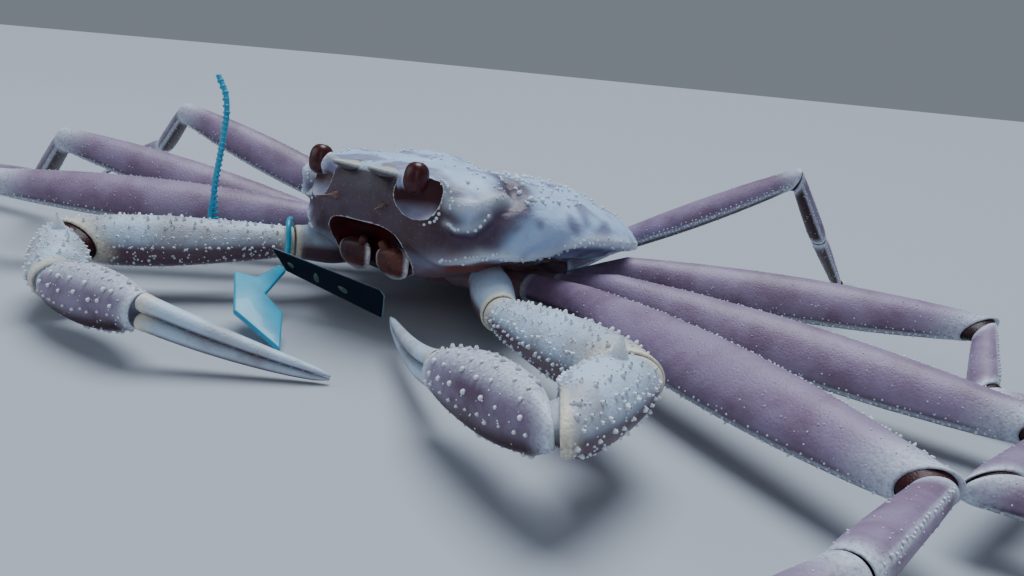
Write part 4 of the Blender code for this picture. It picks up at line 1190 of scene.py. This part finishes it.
def buildEye(side, settings):
    sign = sideSign(side)
    x, y, z = settings["eyeCentre"]
    rings = ballRings((sign * x, y, z), settings["eyeSize"], 48, 32, 0.8)
    dress(makePiece(side + "EyeCornea", *bodyLoft(rings), finishes["cornea"]), "eye", side + "_cornea")
    root = bodyPoint((sign * settings["eyeRoot"][0], *settings["eyeRoot"][1:]))
    centre = bodyPoint((sign * x, y, z))
    reach = (centre - root).length - settings["eyeSize"][0] * 0.55
    end = root.lerp(centre, reach / (centre - root).length)
    stalk = Stretch(root, end, settings["stalk"], settings["stalkSize"], settings["stalkSize"], 0)
    rings = [stalk.ring(k / 30, 36) for k in range(31)]
    points, faces = fineLoft(rings + [stalk.ring(1, 36, 0.8, -0.6), stalk.ring(1, 36, 0.5, -1.0)])
    edges = [smoothStep(0.6, 1, k // 36 / 30) for k in range(len(points))]
    piece = makePiece(side + "EyestalkCap", points, faces, finishes["carapaceShell"], edges)
    dress(piece, "carapace_shell", side + "_eyestalk")


def buildFeeler(side, settings):
    sign = sideSign(side)
    root = bodyPoint((sign * settings["antennaRoot"][0], *settings["antennaRoot"][1:]))
    tip = bodyPoint((sign * settings["antennaTip"][0], *settings["antennaTip"][1:]))
    size = settings["antennaSize"]
    feeler = Stretch(root, tip, settings["feeler"], size, size, 0)
    rings = [feeler.ring(k / 60, 20, 1 + 0.06 * math.cos(k * 1.3) * (k > 24)) for k in range(61)]
    points, faces = fineLoft(rings)
    piece = makePiece(side + "Feeler", points, faces, finishes["mouthPlate"], [0.1] * len(points))
    dress(piece, "claw_shell", side + "_antenna")


def ovalPlate(stations, centreX, thick, rows=40, sides=40):
    rings, edges = [], []
    first, last = stations[0][0], stations[-1][0]
    for j in range(rows + 1):
        share = 0.5 - 0.5 * math.cos(math.pi * j / rows)
        z = first + (last - first) * share
        half, y = smoothBetween([(-s[0], s[1], s[2]) for s in stations], -z)
        taper = math.sqrt(max(1 - (2 * share - 1) ** 6, 0.02))
        ring = []
        for k in range(sides):
            turn = math.tau * k / sides
            across, deep = math.cos(turn), math.sin(turn)
            x = centreX + half * taper * math.copysign(abs(across) ** 0.8, across)
            ring.append((x, y - 0.5 * (1 - across**2) - thick * deep * taper, z))
            edges.append(min(smoothStep(0.72, 0.95, abs(across)) + smoothStep(0.8, 1, share), 1))
        rings.append(ring)
    return rings, edges


def buildMouthPlate(side, settings):
    sign = sideSign(side)
    rings, edges = ovalPlate(settings["plate"], sign * 8.6, 1.4)
    plate = makePiece(side + "MouthPlate", *bodyLoft(rings), finishes["mouthPlate"], edges)
    others = []
    for *ends, outline, width, thickness in settings["mouthParts"]:
        start, end = (bodyPoint((sign * x, y, z)) for x, y, z in ends)
        stretch = Stretch(start, end, outline, width, thickness, 0)
        rings = [stretch.ring(k / 16, 24) for k in range(17)]
        others.append(makePiece("mouthPart", *fineLoft(rings), finishes["mouthPlate"]))
    joinInto(plate, others)
    dress(plate, "under_shell", side + "_maxilliped")


for side in ("left", "right"):
    buildEye(side, faceSettings)
    buildFeeler(side, faceSettings)
    buildMouthPlate(side, faceSettings)
print("eyes, feelers and mouth are made")


# Tag: a tie round the right arm, its arrow-shaped head and a plate

tagSettings = {
    "radius": 1.1, "core": 0.92, "tailFrom": 6, "notchGap": 1.9,
    "notches": {"height": 0.75, "width": 1.35, "tip": 1, "root": 0.4, "sides": 14, "round": True},
    "path": (
        (-33.5, -61.5, 15.5), (-35.5, -58.5, 21), (-40.5, -54, 28.6), (-47.5, -47, 26), (-51.5, -47.5, 17),
        (-60, -56, 16), (-69, -64, 20), (-71, -63, 36), (-72, -59, 51), (-74, -55, 64), (-76, -54, 71),
        (-80, -54, 77),
    ),
    "headPlane": ((-28.4, -68.5, 14.8), (1.6, -93, 2.8), (-16.4, -97, 9.8)),
    "headOutline": ((-4.5, 0), (-2, -2.5), (15, 4.5), (24, -1), (43, 0), (27, 14), (5, 14.5), (6, 7.5)),
    "platePlane": ((-33.7, -63.7, 19.1), (12.3, -60.4, 16.6), (-33.7, -63.9, 7.6)),
    "plateOutline": ((-3.5, -2), (45, 0), (47, 1.5), (47, 9), (4, 4.5)),
    "marks": ((6, 1.8, 1.6, 0.7, 20), (18, 3.2, 1.1, 1.6, -30), (30, 4, 2.2, 0.8, 15)),
}
tagFinishes = {  # two colours, roughness, coat, scale of the grain, shine
    "tagPlastic": ((0.008, 0.3, 0.5), (0.03, 0.45, 0.65), 0.35, 0.2, 90, 0.5),
    "tagPlate": ((0.001, 0.003, 0.012), (0.002, 0.006, 0.02), 0.55, 0.0, 120, 0.15),
    "plateEdge": ((0.3, 0.42, 0.55), (0.15, 0.25, 0.35), 0.4, 0.2, 200, 0.5),
    "plateMark": ((0.08, 0.18, 0.14), (0.03, 0.08, 0.06), 0.5, 0.1, 300, 0.5),
}
for finishName, values in tagFinishes.items():
    finishes[finishName] = plainFinish(finishName, *values)


def planeFrame(origin, along, other):
    first = (Vector(along) - Vector(origin)).normalized()
    normal = first.cross(Vector(other) - Vector(origin)).normalized()
    turned = Matrix((first, normal.cross(first), normal)).transposed().to_4x4()
    return Matrix.Translation(origin) @ turned


def bevelledSlab(name, outline, thickness, plane, finish, bevel):
    rings = [[plane @ Vector((x, y, z)) for x, y in outline] for z in (-thickness / 2, thickness / 2)]
    piece = makePiece(name, *fineLoft(rings), finish)
    modifier = piece.modifiers.new("softEdge", "BEVEL")
    modifier.width = bevel * placeSettings["unit"]
    modifier.segments = 4
    modifier.limit_method = "ANGLE"
    modifier.angle_limit = math.radians(20)
    settle(piece)
    piece.data.shade_smooth()
    piece.data.set_sharp_from_angle(angle=math.radians(35))
    return piece


def buildTie(settings):
    curve = bpy.data.curves.new("tieRoute", "CURVE")
    curve.dimensions = "3D"
    spline = curve.splines.new("BEZIER")
    spline.bezier_points.add(len(settings["path"]) - 1)
    for knot, place in zip(spline.bezier_points, settings["path"]):
        knot.co = toMetres(place)
        knot.handle_left_type = knot.handle_right_type = "AUTO"
    curve.resolution_u = 24
    curve.bevel_depth = settings["radius"] * placeSettings["unit"] * settings["core"]
    curve.bevel_resolution = 5
    curve.use_fill_caps = True
    route = bpy.data.objects.new("tieRoute", curve)
    bpy.context.scene.collection.objects.link(route)
    bpy.context.view_layer.update()
    mesh = bpy.data.meshes.new_from_object(route.evaluated_get(bpy.context.evaluated_depsgraph_get()))
    bpy.data.objects.remove(route, do_unlink=True)
    solid = bmesh.new()
    solid.from_mesh(mesh)
    bmesh.ops.remove_doubles(solid, verts=solid.verts, dist=0.00001)
    bmesh.ops.recalc_face_normals(solid, faces=solid.faces)
    solid.to_mesh(mesh)
    solid.free()
    mesh.shade_smooth()
    mesh.materials.clear()
    mesh.materials.append(finishes["tagPlastic"])
    piece = bpy.data.objects.new("tagTie", mesh)
    bpy.context.scene.collection.objects.link(piece)
    setLayer(mesh, "nub", [0.0] * len(mesh.vertices))
    tail = [Vector(p) for p in settings["path"][settings["tailFrom"]:]]
    roots = []
    for start, end in zip(tail, tail[1:]):
        count = max(int((end - start).length / settings["notchGap"]), 1)
        for k in range(count):
            roots.append((start.lerp(end, k / count), (end - start).normalized(), 1.0))
    growNubs(piece, roots, settings["notches"], finishes["tagPlastic"])
    dress(piece, "tag_plastic", "tag_tie")


def buildTag(settings):
    buildTie(settings)
    headPlane = planeFrame(*settings["headPlane"])
    head = bevelledSlab("tagHead", settings["headOutline"], 2, headPlane, finishes["tagPlastic"], 0.7)
    dress(head, "tag_plastic", "tag_head")
    platePlane = planeFrame(*settings["platePlane"])
    plate = bevelledSlab("tagPlate", settings["plateOutline"], 1.1, platePlane, finishes["tagPlate"], 0.3)
    dress(plate, "tag_plate", "tag_plate")
    outline = [(x * 1.006 - 0.1, y * 1.02 - 0.05) for x, y in settings["plateOutline"]]
    rings = [[platePlane @ Vector((x, y, z)) for x, y in outline] for z in (-0.2, 0.2)]
    dress(makePiece("tagPlateEdge", *fineLoft(rings), finishes["plateEdge"]), "tag_plate")
    for number, (x, y, wide, tall, turn) in enumerate(settings["marks"]):
        turned = Matrix.Rotation(math.radians(turn), 4, "Z")
        spots = []
        for a in (math.tau * k / 24 for k in range(24)):
            spots.append(turned @ Vector((wide * math.cos(a), tall * math.sin(a) * (1 + 0.3 * math.cos(a)), 0)))
        for face, label in ((-1, "Back"), (1, "Front")):
            rings = [[platePlane @ (Vector((x, y, face * z)) + spot) for spot in spots] for z in (0.5, 0.6)]
            dress(makePiece(f"plateMark{number}{label}", *fineLoft(rings), finishes["plateMark"]), "tag_plate")


buildTag(tagSettings)
for nodeName in ("thorax", "abdomen"):
    for slot in frame["nodes"][nodeName].material_slots:
        slot.material = finishes["underShell"]
print("tag and underside are made")
